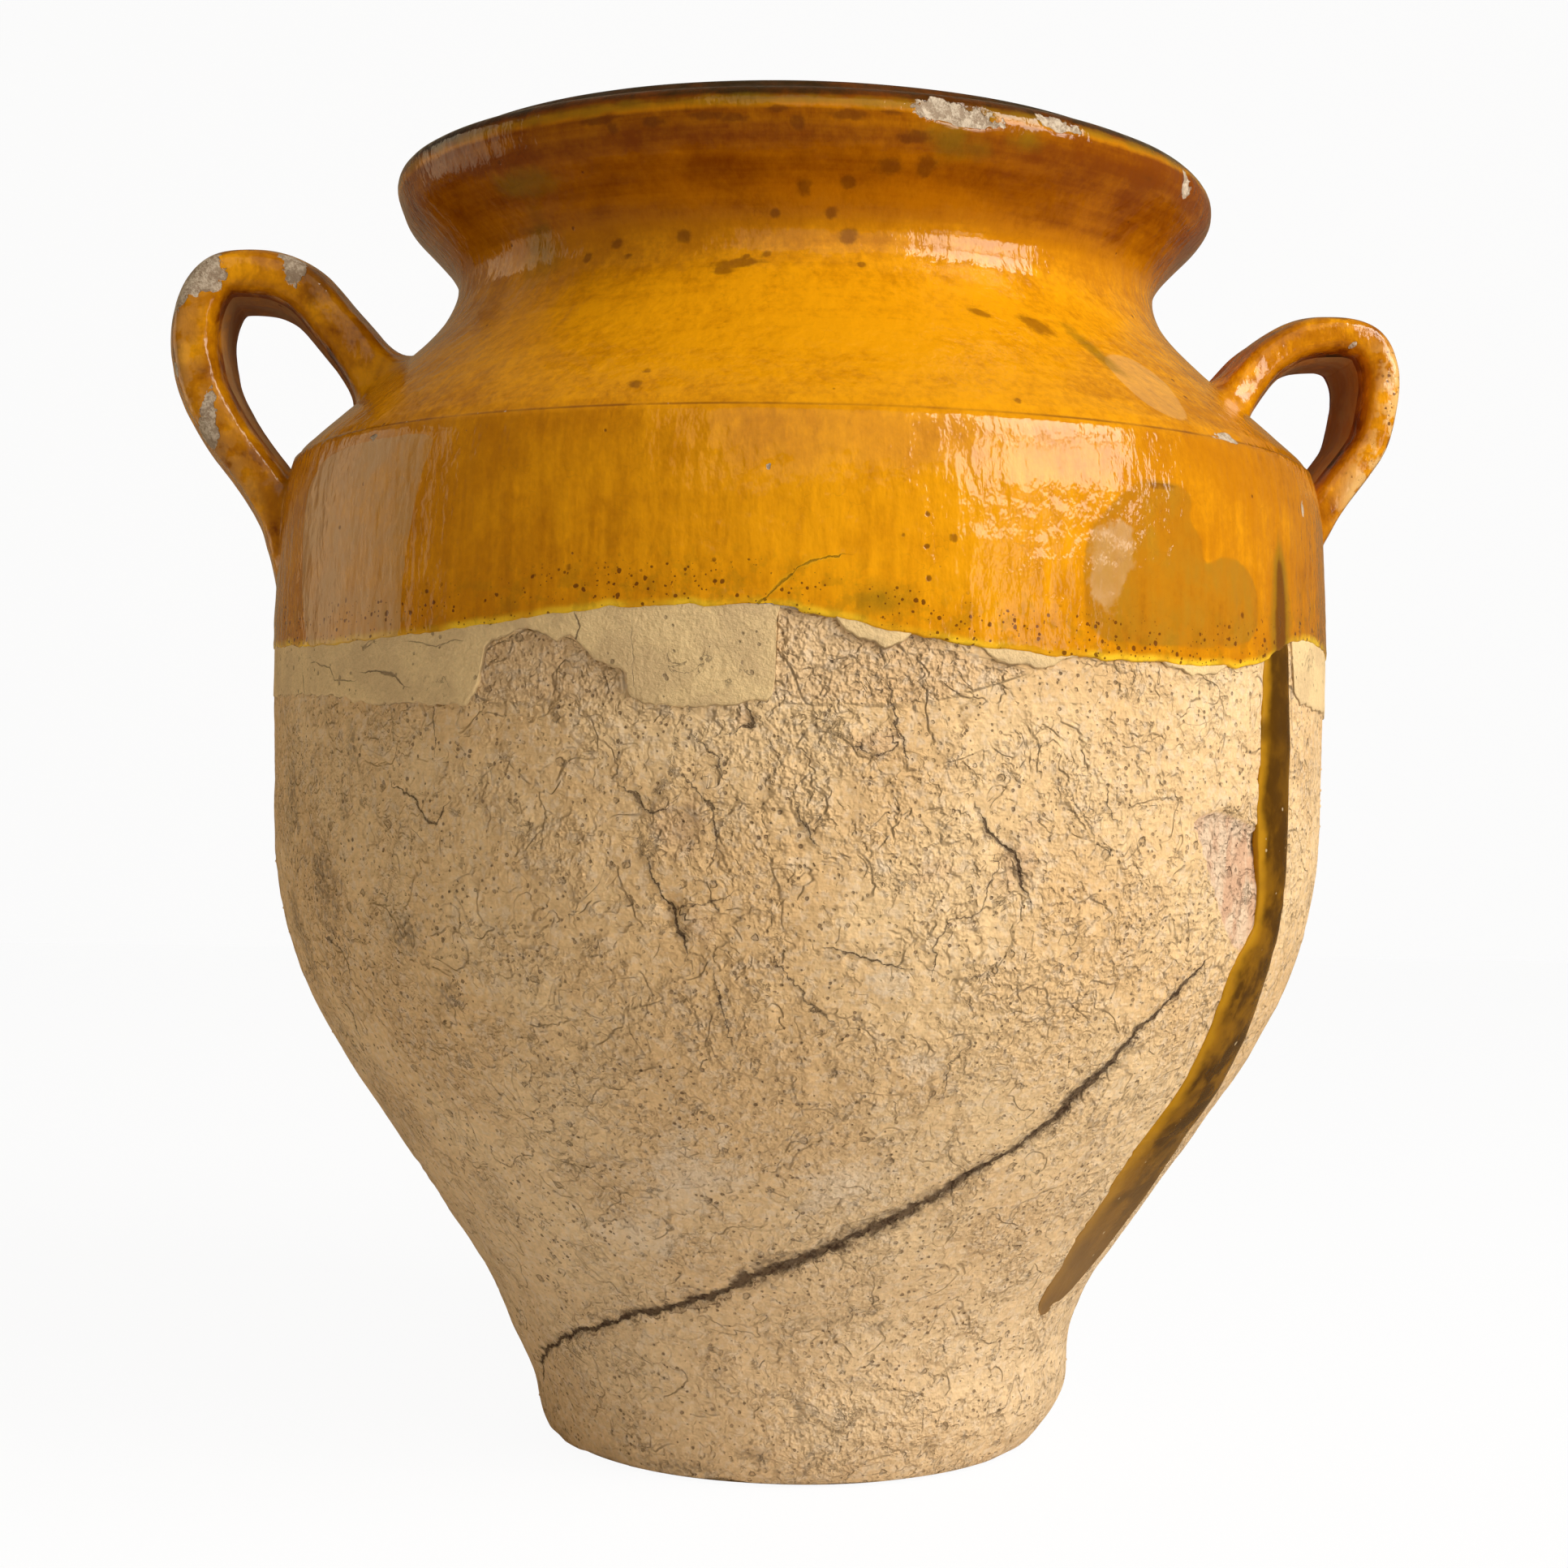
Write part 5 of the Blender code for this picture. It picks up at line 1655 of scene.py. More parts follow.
@dataclass
class ClayBody(Piece):
    """Thrown wall of bare clay, with its foot, floor, cracks and raw chip."""

    name: str = "worn_clay_body"
    node: str = "clay_body"
    around: int = 380
    crowding: float = 0.5
    row: float = 0.95
    out: float = 0.75
    dense_top: float = 179.0
    hidden: float = 182.0

    def profile(self) -> np.ndarray:
        """Closed profile from the middle of the foot up, over the lip and down to the floor.

        Returns:
            Array of points.
        """
        under = np.array([(0.0, 0.9), (16.0, 0.9), (34.0, 0.8), (44.0, 0.5), (49.0, 0.05), (51.6, 0.0)])
        edge = np.array([(52.7, 0.12), (53.4, 0.5)])
        low = np.arange(length_at(1.2), length_at(self.dense_top), self.row)
        high = np.linspace(length_at(self.dense_top), S_OUT[-1] - 0.2, 34)[1:]
        along = np.concatenate([low, high])
        hidden = length_at(self.hidden)
        out = self.out * smooth(hidden, length_at(176.0), along) - 0.25 * (along > hidden)
        r, z = off_wall(along, out)
        inner = WALL.inside()[::7]
        inner = np.concatenate([inner[:-1], [(0.0, inner[-1, 1])]])
        return np.concatenate([under, edge, np.stack([r, np.minimum(z, 279.0)], 1), inner])

    def build(self) -> bpy.types.Object:
        """Throw the wall, then wear it.

        Returns:
            The finished piece.
        """
        thing = self.throw(self.profile(), self.around, self.crowding)
        self.wear(thing)
        return self.roughen(thing, Surface.WORN)

    def wear(self, thing: bpy.types.Object) -> None:
        """Cut the cracks, the raw chip and the pits, and write the fields that colour them.

        Args:
            thing: the thrown wall.
        """
        points = points_of(thing.data)
        angle, r, z = angle_of(points), np.hypot(points[:, 0], points[:, 1]), points[:, 2]
        outside = (r > radius(z) - 2.0) & (z > 0.3) & (z < self.hidden)
        split = crack_field(CRACKS, angle, z)
        split["crack_depth"] = np.where(outside, split["crack_depth"], 0.0)
        chip = np.where(outside, inside_field(RAW_CHIP, angle, z), -9.0)
        pits = np.where(outside, blob_field(PITS, angle, z), -1.0)
        bare = inside_arch(angle, z) * smooth(155.0, 163.5, z)
        wide = split["crack_width"]
        hollow = 0.7 * smooth(0.3, 0.9, wide) * split["crack_depth"]
        hollow = hollow * np.exp(-((split["crack"] / (wide + 0.5)) ** 2))
        top = smooth(0.0, 1.2, chip) * (0.55 + 0.85 * smooth(112.0, 136.0, z))
        hollow = hollow + top + 0.7 * smooth(0.0, 0.5, pits)
        hollow = hollow + 0.42 * smooth(0.0, 0.8, bare)
        share = 1.0 - hollow * outside / np.maximum(r, 1.0)
        flat = warped(angle, r * share, z)
        heel = np.where(outside & (z < 6.0), 0.5 * np.maximum(wiggle(angle, 9.0, 21), 0.0), 0.0)
        flat[:, 2] += heel * smooth(6.0, 1.0, z) * (z > 0.3)
        thing.data.vertices.foreach_set("co", (flat * MM).astype(np.float32).ravel())
        fields = {
            **split,
            "chip": chip / 2.0,
            "blush": np.where(outside, blob_field(BLUSHES, angle, z), -1.0),
            "stain": np.where(outside, blob_field(STAINS, angle, z), -1.0),
            "bloom": np.where(outside, blob_field(BLOOMS, angle, z), -1.0),
            "under_slip": bare,
            "relief": np.where(outside, smooth(0.5, 5.0, z), 0.0),
        }
        add_fields(thing.data, fields)


def inside_arch(angle: np.ndarray, z: np.ndarray) -> np.ndarray:
    """How far a point lies in the stretches that lost their slip, in millimetres.

    Args:
        angle: angles of the points.
        z: heights of the points.

    Returns:
        Array of distances, at most 3, negative outside.
    """
    arch = (
        (-36.0, 156.0), (-34.6, 167.0), (-29.8, 170.6), (-25.2, 169.0), (-20.0, 163.0), (-19.4, 156.0),
        (-24.0, 153.5), (-32.0, 153.0),
    )
    stretch = ((-6.6, 155.0), (-6.2, 176.0), (2.0, 176.0), (9.0, 168.0), (18.0, 164.0), (6.0, 156.0))
    best = np.maximum(inside_field(arch, angle, z), inside_field(stretch, angle, z))
    return np.clip(best, -3.0, 3.0)


@dataclass
class Coat(Piece):
    """Coat on the outside of the wall with a free lower edge."""

    inner: float = 0.0
    outer: float = 0.7
    top: float = 178.0
    rounding: float = 0.5

    def edge_rows(self, start: np.ndarray, count: int) -> tuple:
        """Rows of points that round the coat's free edge.

        Args:
            start: length along the wall of each column's edge.
            count: number of rows.

        Returns:
            Lengths along the wall and distances out, columns by rows.
        """
        turn = np.radians(np.linspace(0.0, 90.0, count))
        out = self.inner + (self.outer - self.inner) * np.sin(turn)[None, :] + 0 * start
        return start + self.rounding * (1 - np.cos(turn))[None, :], out


@dataclass
class SlipCoat(Coat):
    """Pale slip under the glaze, with its flaked lower edge."""

    name: str = "pale_slip_coat"
    node: str = "slip_coat"
    inner: float = -0.1
    outer: float = 1.02
    front_step: float = 0.42
    back_step: float = 1.8
    front_half: float = 92.0
    turn_step: float = 0.05

    def columns(self) -> tuple:
        """Columns evenly spaced along the edge line, which crowd where it is steep.

        Returns:
            Two arrays of the same length.
        """
        fine = np.arange(-180.0, 180.0, self.turn_step)
        height = read_round(SLIP_EDGE, fine)
        height += 0.36 * wiggle(fine, 1.3, 31) + 0.30 * wiggle(fine, 0.5, 32) + 0.4 * wiggle(fine, 4.0, 33)
        step = np.where(np.abs(wrapped(fine - FRONT)) < self.front_half, self.front_step, self.back_step)
        length = np.hypot(np.radians(self.turn_step) * radius(height), np.gradient(height)) / step
        total = np.cumsum(length)
        places = np.interp(np.arange(0.0, total[-1], 1.0), total, np.arange(len(fine)))
        return np.interp(places, np.arange(len(fine)), fine), np.interp(places, np.arange(len(fine)), height)

    def build(self) -> bpy.types.Object:
        """Lay the slip.

        Returns:
            The finished piece.
        """
        angle, edge = self.columns()
        top = np.maximum(self.top, edge + 1.5)
        s0 = length_at(edge)[:, None]
        s1 = length_at(top)[:, None]
        lip, lip_out = self.edge_rows(s0, 4)
        share = (np.linspace(0.0, 1.0, 15)[1:] ** 1.2)[None, :]
        face = lip[:, -1:] + (s1 - lip[:, -1:]) * share
        face_out = self.outer + 0 * face
        back = s1 + (s0 - s1) * np.array([[0.0, 0.5]])
        along = np.concatenate([lip, face, back], 1)
        out = np.concatenate([lip_out, face_out, self.inner + 0 * back], 1)
        z = np.interp(along, S_OUT, Z_OUT)
        split = crack_field(SLIP_CRACKS, angle[:, None] + 0 * z, z)
        fields = {**split, "edge_up": np.minimum(along - s0, 20.0), "relief": 0.0}
        points = on_wall(angle[:, None] + 0 * along, along, out)
        return self.roughen(closed_mesh(self.name, points, False, fields), Surface.GLAZED)


SLIP_CRACKS = (
    Crack(((-24.6, 172.8), (-24.2, 170.8), (-24.6, 168.4)), 0.28, 0.9),
    Crack(((-61.0, 166.0), (-57.0, 164.4), (-56.0, 162.0), (-53.0, 161.6)), 0.22, 0.7),
    Crack(((-50.0, 163.4), (-46.0, 162.6), (-44.5, 160.6)), 0.42, 0.9, (0.4, 1.4, 0.5)),
    Crack(((-64.0, 163.4), (-63.6, 160.6)), 0.4, 0.8),
    Crack(((-43.0, 168.6), (-40.0, 167.6), (-38.0, 168.6)), 0.22, 0.6),
    Crack(((-19.2, 171.0), (-19.0, 160.0)), 0.2, 0.35),
    Crack(((120.0, 170.0), (124.0, 165.0), (130.0, 166.0)), 0.3, 0.8),
)


@dataclass
class OuterGlaze(Coat):
    """Honey glaze from its dipped edge up over the shoulder, neck and lip."""

    name: str = "honey_glaze_coat"
    node: str = "outer_glaze"
    inner: float = 0.5
    outer: float = 1.24
    above: float = 0.75
    around: int = 430
    crowding: float = 0.5
    band_rows: int = 50
    upper_step: float = 0.82
    lip_start: float = 268.0

    def build(self) -> bpy.types.Object:
        """Dip the pot.

        Returns:
            The finished piece.
        """
        angle = front_crowded(self.around, self.crowding)
        edge = glaze_edge(angle)
        ridge = length_at(WALL.ridge[1])
        s0 = length_at(edge)[:, None]
        lip, lip_out = self.edge_rows(s0, 5)
        share = np.linspace(0.0, 1.0, self.band_rows)[1:][None, :]
        band = lip[:, -1:] + (ridge - lip[:, -1:]) * share
        bulge = 0.14 * np.exp(-(((band - s0) / 1.8) ** 2))
        upper = np.arange(ridge + 0.5, S_OUT[-1], self.upper_step)
        upper_out = self.above + (self.outer - self.above) * np.exp(-((upper - ridge) / 0.5))
        count = len(angle)
        land = self.over_land(count)
        high = S_OUT[-1] - 3.0
        back = high + (s0 + 0.2 - high) * np.linspace(0.0, 1.0, 34)[None, :]
        along = np.concatenate([lip, band, np.tile(upper, (count, 1))], 1)
        out = np.concatenate([lip_out, self.outer + bulge, np.tile(upper_out, (count, 1))], 1)
        front = on_wall(angle[:, None] + 0 * along, along, out)
        behind = on_wall(angle[:, None] + 0 * back, back, -0.4 + 0 * back)
        over = warped(angle[:, None] + 0 * land[0], land[0], land[1])
        points = np.concatenate([front, over, behind], 1)
        z = points[..., 2]
        thing = closed_mesh(self.name, points, False, self.fields(angle[:, None] + 0 * z, z, s0))
        self.dent(thing)
        return self.roughen(thing, Surface.GLAZED)

    def over_land(self, count: int) -> tuple:
        """Radii and heights of the rows that run over the lip's crest and just inside it.

        Args:
            count: number of columns.

        Returns:
            Two grids, columns by rows.
        """
        r = np.array([79.0, 78.2, 77.2, 76.4, 75.8, 75.3, 75.0, 74.8])
        z = np.array([279.75, 279.85, 279.85, 279.6, 279.0, 278.0, 276.6, 275.0])
        r2 = np.array([76.0, 77.5])
        z2 = np.array([275.0, 277.0])
        return np.tile(np.concatenate([r, r2]), (count, 1)), np.tile(np.concatenate([z, z2]), (count, 1))

    def fields(self, angle: np.ndarray, z: np.ndarray, s0: np.ndarray) -> dict:
        """Fields that colour the glaze.

        Args:
            angle: angles of the points.
            z: heights of the points.
            s0: length along the wall of each column's edge.

        Returns:
            Attribute name to grid.
        """
        along = length_at(z)
        streak = 1.2 + 1.5 * smooth(192.0, 172.0, z) - np.abs((angle - 51.3) * np.radians(1.0) * radius(z))
        streak = streak - 4.0 * smooth(186.0, 198.0, z)
        dull = inside_field(rounded(DULL_PATCH), angle, z)
        veil = inside_field(rounded(REFLECTION_VEIL), angle, z)
        reflection_wedge = inside_field(rounded(REFLECTION_WEDGE), angle, z)
        lip_shake = 0.45 * wiggle(angle, 7.0, 71) + 0.3 * wiggle(angle, 2.3, 72)
        return {
            **crack_field(GLAZE_CRACKS, angle, z),
            "edge_up": np.minimum(along - s0, 60.0),
            "spot": blob_field(GLAZE_SPOTS, angle, z),
            "chip": blob_field(GLAZE_CHIPS, angle, z),
            "olive": blob_field(GLAZE_OLIVE, angle, z),
            "streak": np.clip(streak, -6.0, 3.0),
            "drawn": smooth(214.0, 208.0, z),
            "tone": glaze_tone(angle, z + smooth(266.0, 271.0, z) * lip_shake),
            "grainy": 0.45 + 0.55 * smooth(210.0, 214.0, z) - 0.7 * smooth(244.0, 258.0, z),
            # Dull patch, partly painted reflection, and a faint painted reflection veil.
            "dull_and_reflection": np.clip(np.maximum(dull, 0.16 * veil - 0.2), -3.0, 3.0),
            # Pale wedge: painted window reflection.
            "pale": np.clip(reflection_wedge, -3.0, 3.0),
            "thick": np.clip(inside_field(rounded(THICK_PATCH), angle, z), -3.0, 3.0),
            "shade": 0.16 * smooth(197.0, 208.0, z) * smooth(212.0, 210.0, z),
            "matt": 0.0,
            "worn": 0.0,
            "relief": 0.0,
        }

    def dent(self, thing: bpy.types.Object) -> None:
        """Sink the chips of the glaze into its surface.

        Args:
            thing: the glaze.
        """
        mesh = thing.data
        points = points_of(mesh)
        chip = np.zeros(len(points), np.float32)
        mesh.attributes["chip"].data.foreach_get("value", chip)
        high = points[:, 2] > self.lip_start
        sink = smooth(0.0, 0.35, chip) * np.where(high, 0.9, 0.35)
        share = 1.0 - sink * 0.8 / np.hypot(points[:, 0], points[:, 1])
        points[:, :2] *= share[:, None]
        points[:, 2] -= np.where(high, sink * 0.8, 0.0)
        mesh.vertices.foreach_set("co", (points * MM).astype(np.float32).ravel())
        mesh.update()


GLAZE_CRACKS = (
    Crack(
        ((-8.5, 174.2), (-7.1, 176.1), (-5.7, 179.1), (-4.3, 181.7), (-3.2, 182.8), (-1.0, 183.6)),
        0.3, 1.0,
    ),
)


@dataclass
class InnerGlaze(Piece):
    """Lining glaze from inside the lip down over the floor."""

    name: str = "lining_glaze_coat"
    node: str = "inner_glaze"
    around: int = 240
    depth: float = 0.8

    def build(self) -> bpy.types.Object:
        """Throw the lining on the wheel too, because it follows the wall's rule.

        Returns:
            The finished piece.
        """
        face = WALL.inside()[1:]
        steps = np.gradient(face, axis=0)
        size = np.hypot(steps[:, 0], steps[:, 1])
        normal = np.stack([steps[:, 1], -steps[:, 0]], 1) / size[:, None]
        inward = face + normal * self.depth
        inward[-1, 0] = 0.0
        seat = face[::-1] - normal[::-1] * 0.2
        seat[0, 0] = 0.0
        return self.settle(self.throw(np.concatenate([inward, seat, inward[:1]]), self.around, 0.0))


@dataclass
class GlazeRun(Piece):
    """Long run of glaze down the belly, a raised bead with a round tip."""

    name: str = "long_glaze_run"
    node: str = "glaze_run"
    rise: float = 0.95
    top: float = 176.0
    tip: float = 33.0
    zero: float = 168.0
    across: int = 36
    down: int = 300

    def build(self) -> bpy.types.Object:
        """Let the glaze run.

        Returns:
            The finished piece.
        """
        left = np.array(RUN_LEFT)
        right = np.array(RUN_RIGHT)
        z = self.top - (self.top - self.tip) * (1 - (1 - np.linspace(0.0, 1.0, self.down)) ** 1.35)
        a = np.interp(z, left[:, 0], left[:, 1])
        b = np.interp(z, right[:, 0], right[:, 1])
        kernel = np.ones(9) / 9
        a = np.convolve(np.pad(a, 4, mode="edge"), kernel, "valid")
        b = np.convolve(np.pad(b, 4, mode="edge"), kernel, "valid")
        scale = np.radians(1.0) * radius(z)
        a += 0.22 * wiggle(z * 3.0, 7.0, 41) / scale
        b += 0.22 * wiggle(z * 3.0, 9.0, 42) / scale
        u = np.sin(np.linspace(-90.0, 90.0, self.across) * math.pi / 180.0)
        angle = (a + b)[:, None] / 2 + (b - a)[:, None] / 2 * u[None, :]
        height = z[:, None] + 0 * angle
        crown = self.rise * np.sqrt(np.clip(1 - np.abs(u) ** 3.2, 0.0, 1.0))[None, :]
        swell = 1.0 + 0.22 * wiggle(z * 3.0, 16.0, 43)[:, None]
        fade = smooth(self.tip, 40.0, z)[:, None] * (0.55 + 0.45 * smooth(50.0, 90.0, z))[:, None]
        fade = fade * (1.0 - 0.9 * smooth(166.0, 174.0, z))[:, None]
        top = 0.35 * smooth(166.0, 172.0, z)[:, None]
        over = on_wall(angle, length_at(height), crown * swell * fade + 0.55 + top)
        under = on_wall(angle[:, ::-1], length_at(height), -0.5 + 0 * angle)
        points = np.concatenate([over, under], 1)
        fields = {
            "across": np.concatenate([u[None, :] + 0 * angle, u[None, ::-1] + 0 * angle], 1),
            "down": np.tile(self.zero - height, (1, 2)),
            "relief": 0.0,
        }
        return self.roughen(closed_mesh(self.name, points, True, fields), Surface.GLAZED)


@dataclass
class Handle(Piece):
    """Pulled strap handle, blended into the wall at both roots."""

    side: int = 1
    outline: tuple = ()
    thickness: float = 9.8
    tail: float = 6.5
    width: float = 33.0
    around: int = 96
    rows: int = 190
    bare: tuple = ()
    dark: tuple = ()
    shaded_inner_tone: float = 0.0
    tone_outer: float = 0.6
    wear: float = 0.25
    fillets: dict = field(
        default_factory=lambda: {Root.UPPER: (10.0, 9.0, 5.0), Root.LOWER: (10.0, 4.0, 3.0)}
    )

    def path(self) -> np.ndarray:
        """Outer line of the strap as (radius, height), evenly spaced from the upper root down.

        Returns:
            Array of points.
        """
        knots = np.array(self.outline, float)
        ends = np.concatenate([[2 * knots[0] - knots[1]], knots, [2 * knots[-1] - knots[-2]]])
        t = np.linspace(0.0, 1.0, 12, endpoint=False)[:, None]
        parts = []
        for a, b, c, d in zip(ends[:-3], ends[1:-2], ends[2:-1], ends[3:]):
            bend = (2 * a - 5 * b + 4 * c - d) + t * (3 * b - a - 3 * c + d)
            parts.append(b + 0.5 * t * ((c - a) + t * bend))
        line = np.concatenate(parts + [knots[-1:]])
        for _ in range(6):
            line[1:-1] = (line[:-2] + 2 * line[1:-1] + line[2:]) / 4
        steps = np.concatenate([[0.0], np.cumsum(np.hypot(*np.diff(line, axis=0).T))])
        even = np.linspace(0.0, steps[-1], 320)
        line = np.stack([np.interp(even, steps, line[:, 0]), np.interp(even, steps, line[:, 1])], 1)
        for _ in range(60):
            line[1:-1] = (line[:-2] + 2 * line[1:-1] + line[2:]) / 4
        return line

    def sweep(self) -> np.ndarray:
        """Strap's surface before blending, sections by points, in millimetres.

        Returns:
            Array of points.
        """
        path = self.path()
        share = np.linspace(0.0, 1.0, len(path))
        tangent = np.gradient(path, axis=0)
        tangent /= np.linalg.norm(tangent, axis=1)[:, None]
        flare = np.clip(1.0 - np.minimum(share, 1.0 - share) / 0.22, 0.0, 1.0) ** 2
        low = share > 0.5
        width = self.width + np.where(low, 0.0, 9.0 * flare)
        tongue = np.sqrt(np.clip(1.0 - np.clip(1.0 - (1.0 - share) / 0.16, 0.0, 1.0) ** 2, 0.0, 1.0))
        width = width * (0.35 + 0.65 * tongue)
        thicker = np.where(low, self.tail - self.thickness, 0.25 * self.thickness)
        thick = self.thickness + thicker * flare
        thick = thick * (1.0 + 0.03 * wiggle(share * 340.0 - 170.0, 31.0, 50 + self.side))
        width = width * (1.0 + 0.02 * wiggle(share * 340.0 - 170.0, 43.0, 60 + self.side))
        turn = np.linspace(0.0, math.tau, self.around, endpoint=False)
        power = 2.0 / 3.6
        across = np.sign(np.cos(turn)) * np.abs(np.cos(turn)) ** power
        out = np.sign(np.sin(turn)) * np.abs(np.sin(turn)) ** power
        groove = -0.05 * np.cos(across * math.pi * 2.6) * np.abs(out)
        y = across[None, :] * width[:, None] / 2
        push = (out * (1.0 + groove))[None, :] * thick[:, None] / 2 - 0.46 * thick[:, None]
        x = path[:, 0:1] - tangent[:, 1:2] * push
        z = path[:, 1:2] + tangent[:, 0:1] * push
        return np.stack([self.side * x, y, z], -1)

    def gap(self, points: np.ndarray) -> np.ndarray:
        """How far points stand out from the coated wall, negative inside it."""
        return np.hypot(points[..., 0], points[..., 1]) - self.skin(points[..., 2])

    def skin(self, height: np.ndarray) -> np.ndarray:
        """Radius of the coated wall at a height."""
        return radius(height) + 0.75

    def root(self, surface: np.ndarray, end: Root) -> tuple:
        """Where each column meets the wall, and the rows that blend it in.

        Args:
            surface: the swept strap.
            end: which root.

        Returns:
            Index along the strap where the blend starts, for each column, and the blend's rows.
        """
        middle = len(surface) // 2
        order = np.arange(middle, -1, -1) if end is Root.UPPER else np.arange(middle, len(surface))
        gap = self.gap(surface[order])
        count = surface.shape[1]
        first = np.argmax(gap < 0.0, axis=0)
        first = np.where(gap.min(axis=0) < 0.0, first, len(order) - 1)
        cross = np.zeros((count, 3))
        start = np.zeros((count, 3))
        place = np.zeros(count)
        turn = np.linspace(0.0, math.tau, count, endpoint=False)
        facing = np.sin(turn)
        big, side, small = self.fillets[end]
        reach = np.where(facing > 0, side + (big - side) * facing**2, side + (small - side) * facing**2)
        for j in range(count):
            line = surface[order[: first[j] + 1], j]
            g = gap[: first[j] + 1, j]
            t = g[-2] / (g[-2] - g[-1] + 1e-9) if len(g) > 1 else 0.0
            line = np.concatenate([line[:-1], [line[-2] + (line[-1] - line[-2]) * np.clip(t, 0, 1)]])
            cross[j] = line[-1]
            back = np.concatenate([[0.0], np.cumsum(np.linalg.norm(np.diff(line[::-1], axis=0), axis=1))])
            here = np.interp(reach[j], back, np.arange(len(back)))
            place[j] = len(line) - 1 - here
            low = int(min(place[j], len(line) - 2))
            start[j] = line[low] + (line[low + 1] - line[low]) * (place[j] - low)
        centre = cross.mean(axis=0)
        angle = np.radians(angle_of(cross))
        along = length_at(cross[:, 2])
        nr, nz = np.interp(along, S_OUT, NR_OUT), np.interp(along, S_OUT, NZ_OUT)
        normal = np.stack([nr * np.sin(angle), -nr * np.cos(angle), nz], 1)
        away = cross - centre
        away -= (away * normal).sum(1)[:, None] * normal
        away /= np.linalg.norm(away, axis=1)[:, None]
        wall = cross + away * reach[:, None] * 0.9
        level = np.hypot(wall[:, 0], wall[:, 1])
        size = self.skin(wall[:, 2]) - 0.2
        wall[:, 0] *= size / level
        wall[:, 1] *= size / level
        t = np.linspace(0.0, 1.0, 12)[1:, None, None]
        rows = (1 - t) ** 2 * start + 2 * t * (1 - t) * cross + t**2 * wall
        sunk = wall - normal * 1.2 - away * 1.0
        rows = np.concatenate([rows, sunk[None]])
        index = order[0] - place if end is Root.UPPER else order[0] + place
        return index, rows

    def build(self) -> bpy.types.Object:
        """Pull the strap and lute it on.

        Returns:
            The finished piece.
        """
        surface = self.sweep()
        top, upper = self.root(surface, Root.UPPER)
        bottom, lower = self.root(surface, Root.LOWER)
        t = np.linspace(0.0, 1.0, self.rows)[:, None]
        index = top[None, :] + (bottom - top)[None, :] * t
        low = np.clip(np.floor(index).astype(int), 0, len(surface) - 2)
        share = (index - low)[..., None]
        column = np.arange(self.around)[None, :] + 0 * low
        body = surface[low, column] * (1 - share) + surface[low + 1, column] * share
        points = np.concatenate([upper[::-1], body, lower])
        along = np.pad(np.linspace(0.0, 1.0, self.rows), (len(upper), len(lower)), mode="edge")
        turn = np.linspace(0.0, math.tau, self.around, endpoint=False)
        along = along[:, None] + 0 * points[..., 0]
        facing = np.sin(turn)[None, :] + 0 * along
        front = -np.cos(turn)[None, :] + 0 * along
        outer = smooth(-0.3, 0.25, facing) * smooth(0.1, 0.7, front)
        fields = {
            "edge_up": 60.0,
            "matt": 1.0 - smooth(-0.97, -0.72, facing) * smooth(-0.4, 0.3, front),
            "worn": self.wear * outer * smooth(0.40, 0.55, along) * smooth(0.98, 0.86, along),
            "spot": self.marks(self.dark, along, facing, front),
            "chip": self.marks(self.bare, along, facing, front),
            "olive": -1.0,
            "streak": -6.0,
            "dull_and_reflection": 6.0 * smooth(-0.80, -0.97, facing) - 3.0,
            "pale": -3.0,
            "thick": -3.0,
            "grainy": 0.55,
            "drawn": 1.0,
            "tone": self.tones(points, facing),
            "shade": 0.0,
            "crack": 4.0,
            "crack_depth": 0.0,
            "crack_width": 1.0,
            "relief": 0.0,
        }
        return self.roughen(closed_mesh(self.name, points, True, fields), Surface.GLAZED)

    def tones(self, points: np.ndarray, facing: np.ndarray) -> np.ndarray:
        """Glaze tone on the strap, the wall's own where it joins the wall, and darker on its inner face,
        partly as deeper glaze and partly as painted shade.

        Args:
            points: points of the strap in millimetres.
            facing: 1 on the outer face, -1 on the inner.

        Returns:
            Array of tones.
        """
        # Darker on the inner face towards the wall: partly deeper glaze, partly painted shade.
        own = self.shaded_inner_tone + (self.tone_outer - self.shaded_inner_tone) * smooth(-0.92, -0.55, facing)
        share = smooth(0.5, 12.0, self.gap(points))
        return glaze_tone(angle_of(points), points[..., 2]) * (1 - share) + own * share

    def marks(self, spots: tuple, along: np.ndarray, facing: np.ndarray, front: np.ndarray) -> np.ndarray:
        """Field of marks on the strap.

        Args:
            spots: each as along, facing, front and radius.
            along: share of the strap's length at each point.
            facing: 1 on the outer face, -1 on the inner.
            front: 1 on the front edge, -1 on the back.

        Returns:
            Array of field values.
        """
        best = np.full(along.shape, -1.0)
        for where, out, fore, size, long in spots:
            d = ((along - where) / long) ** 2 + ((facing - out) / size) ** 2 + ((front - fore) / size) ** 2
            best = np.maximum(best, 1.0 - np.sqrt(d))
        return best


@dataclass
class Crumbs(Piece):
    """Raised crumbs of grog on the bare clay."""

    name: str = "clay_crumbs"
    body: bpy.types.Object = None

    def build(self) -> bpy.types.Object:
        """Sprinkle the crumbs on a copy of the clay body.

        Returns:
            The finished piece.
        """
        thing = linked(self.name, self.body.data.copy())
        tree = self.workshop.crumbs
        run_nodes(thing, tree, Density=16000.0, Size=0.00042, Seed=7, Material=self.material)
        return self.settle(thing)


# Stage


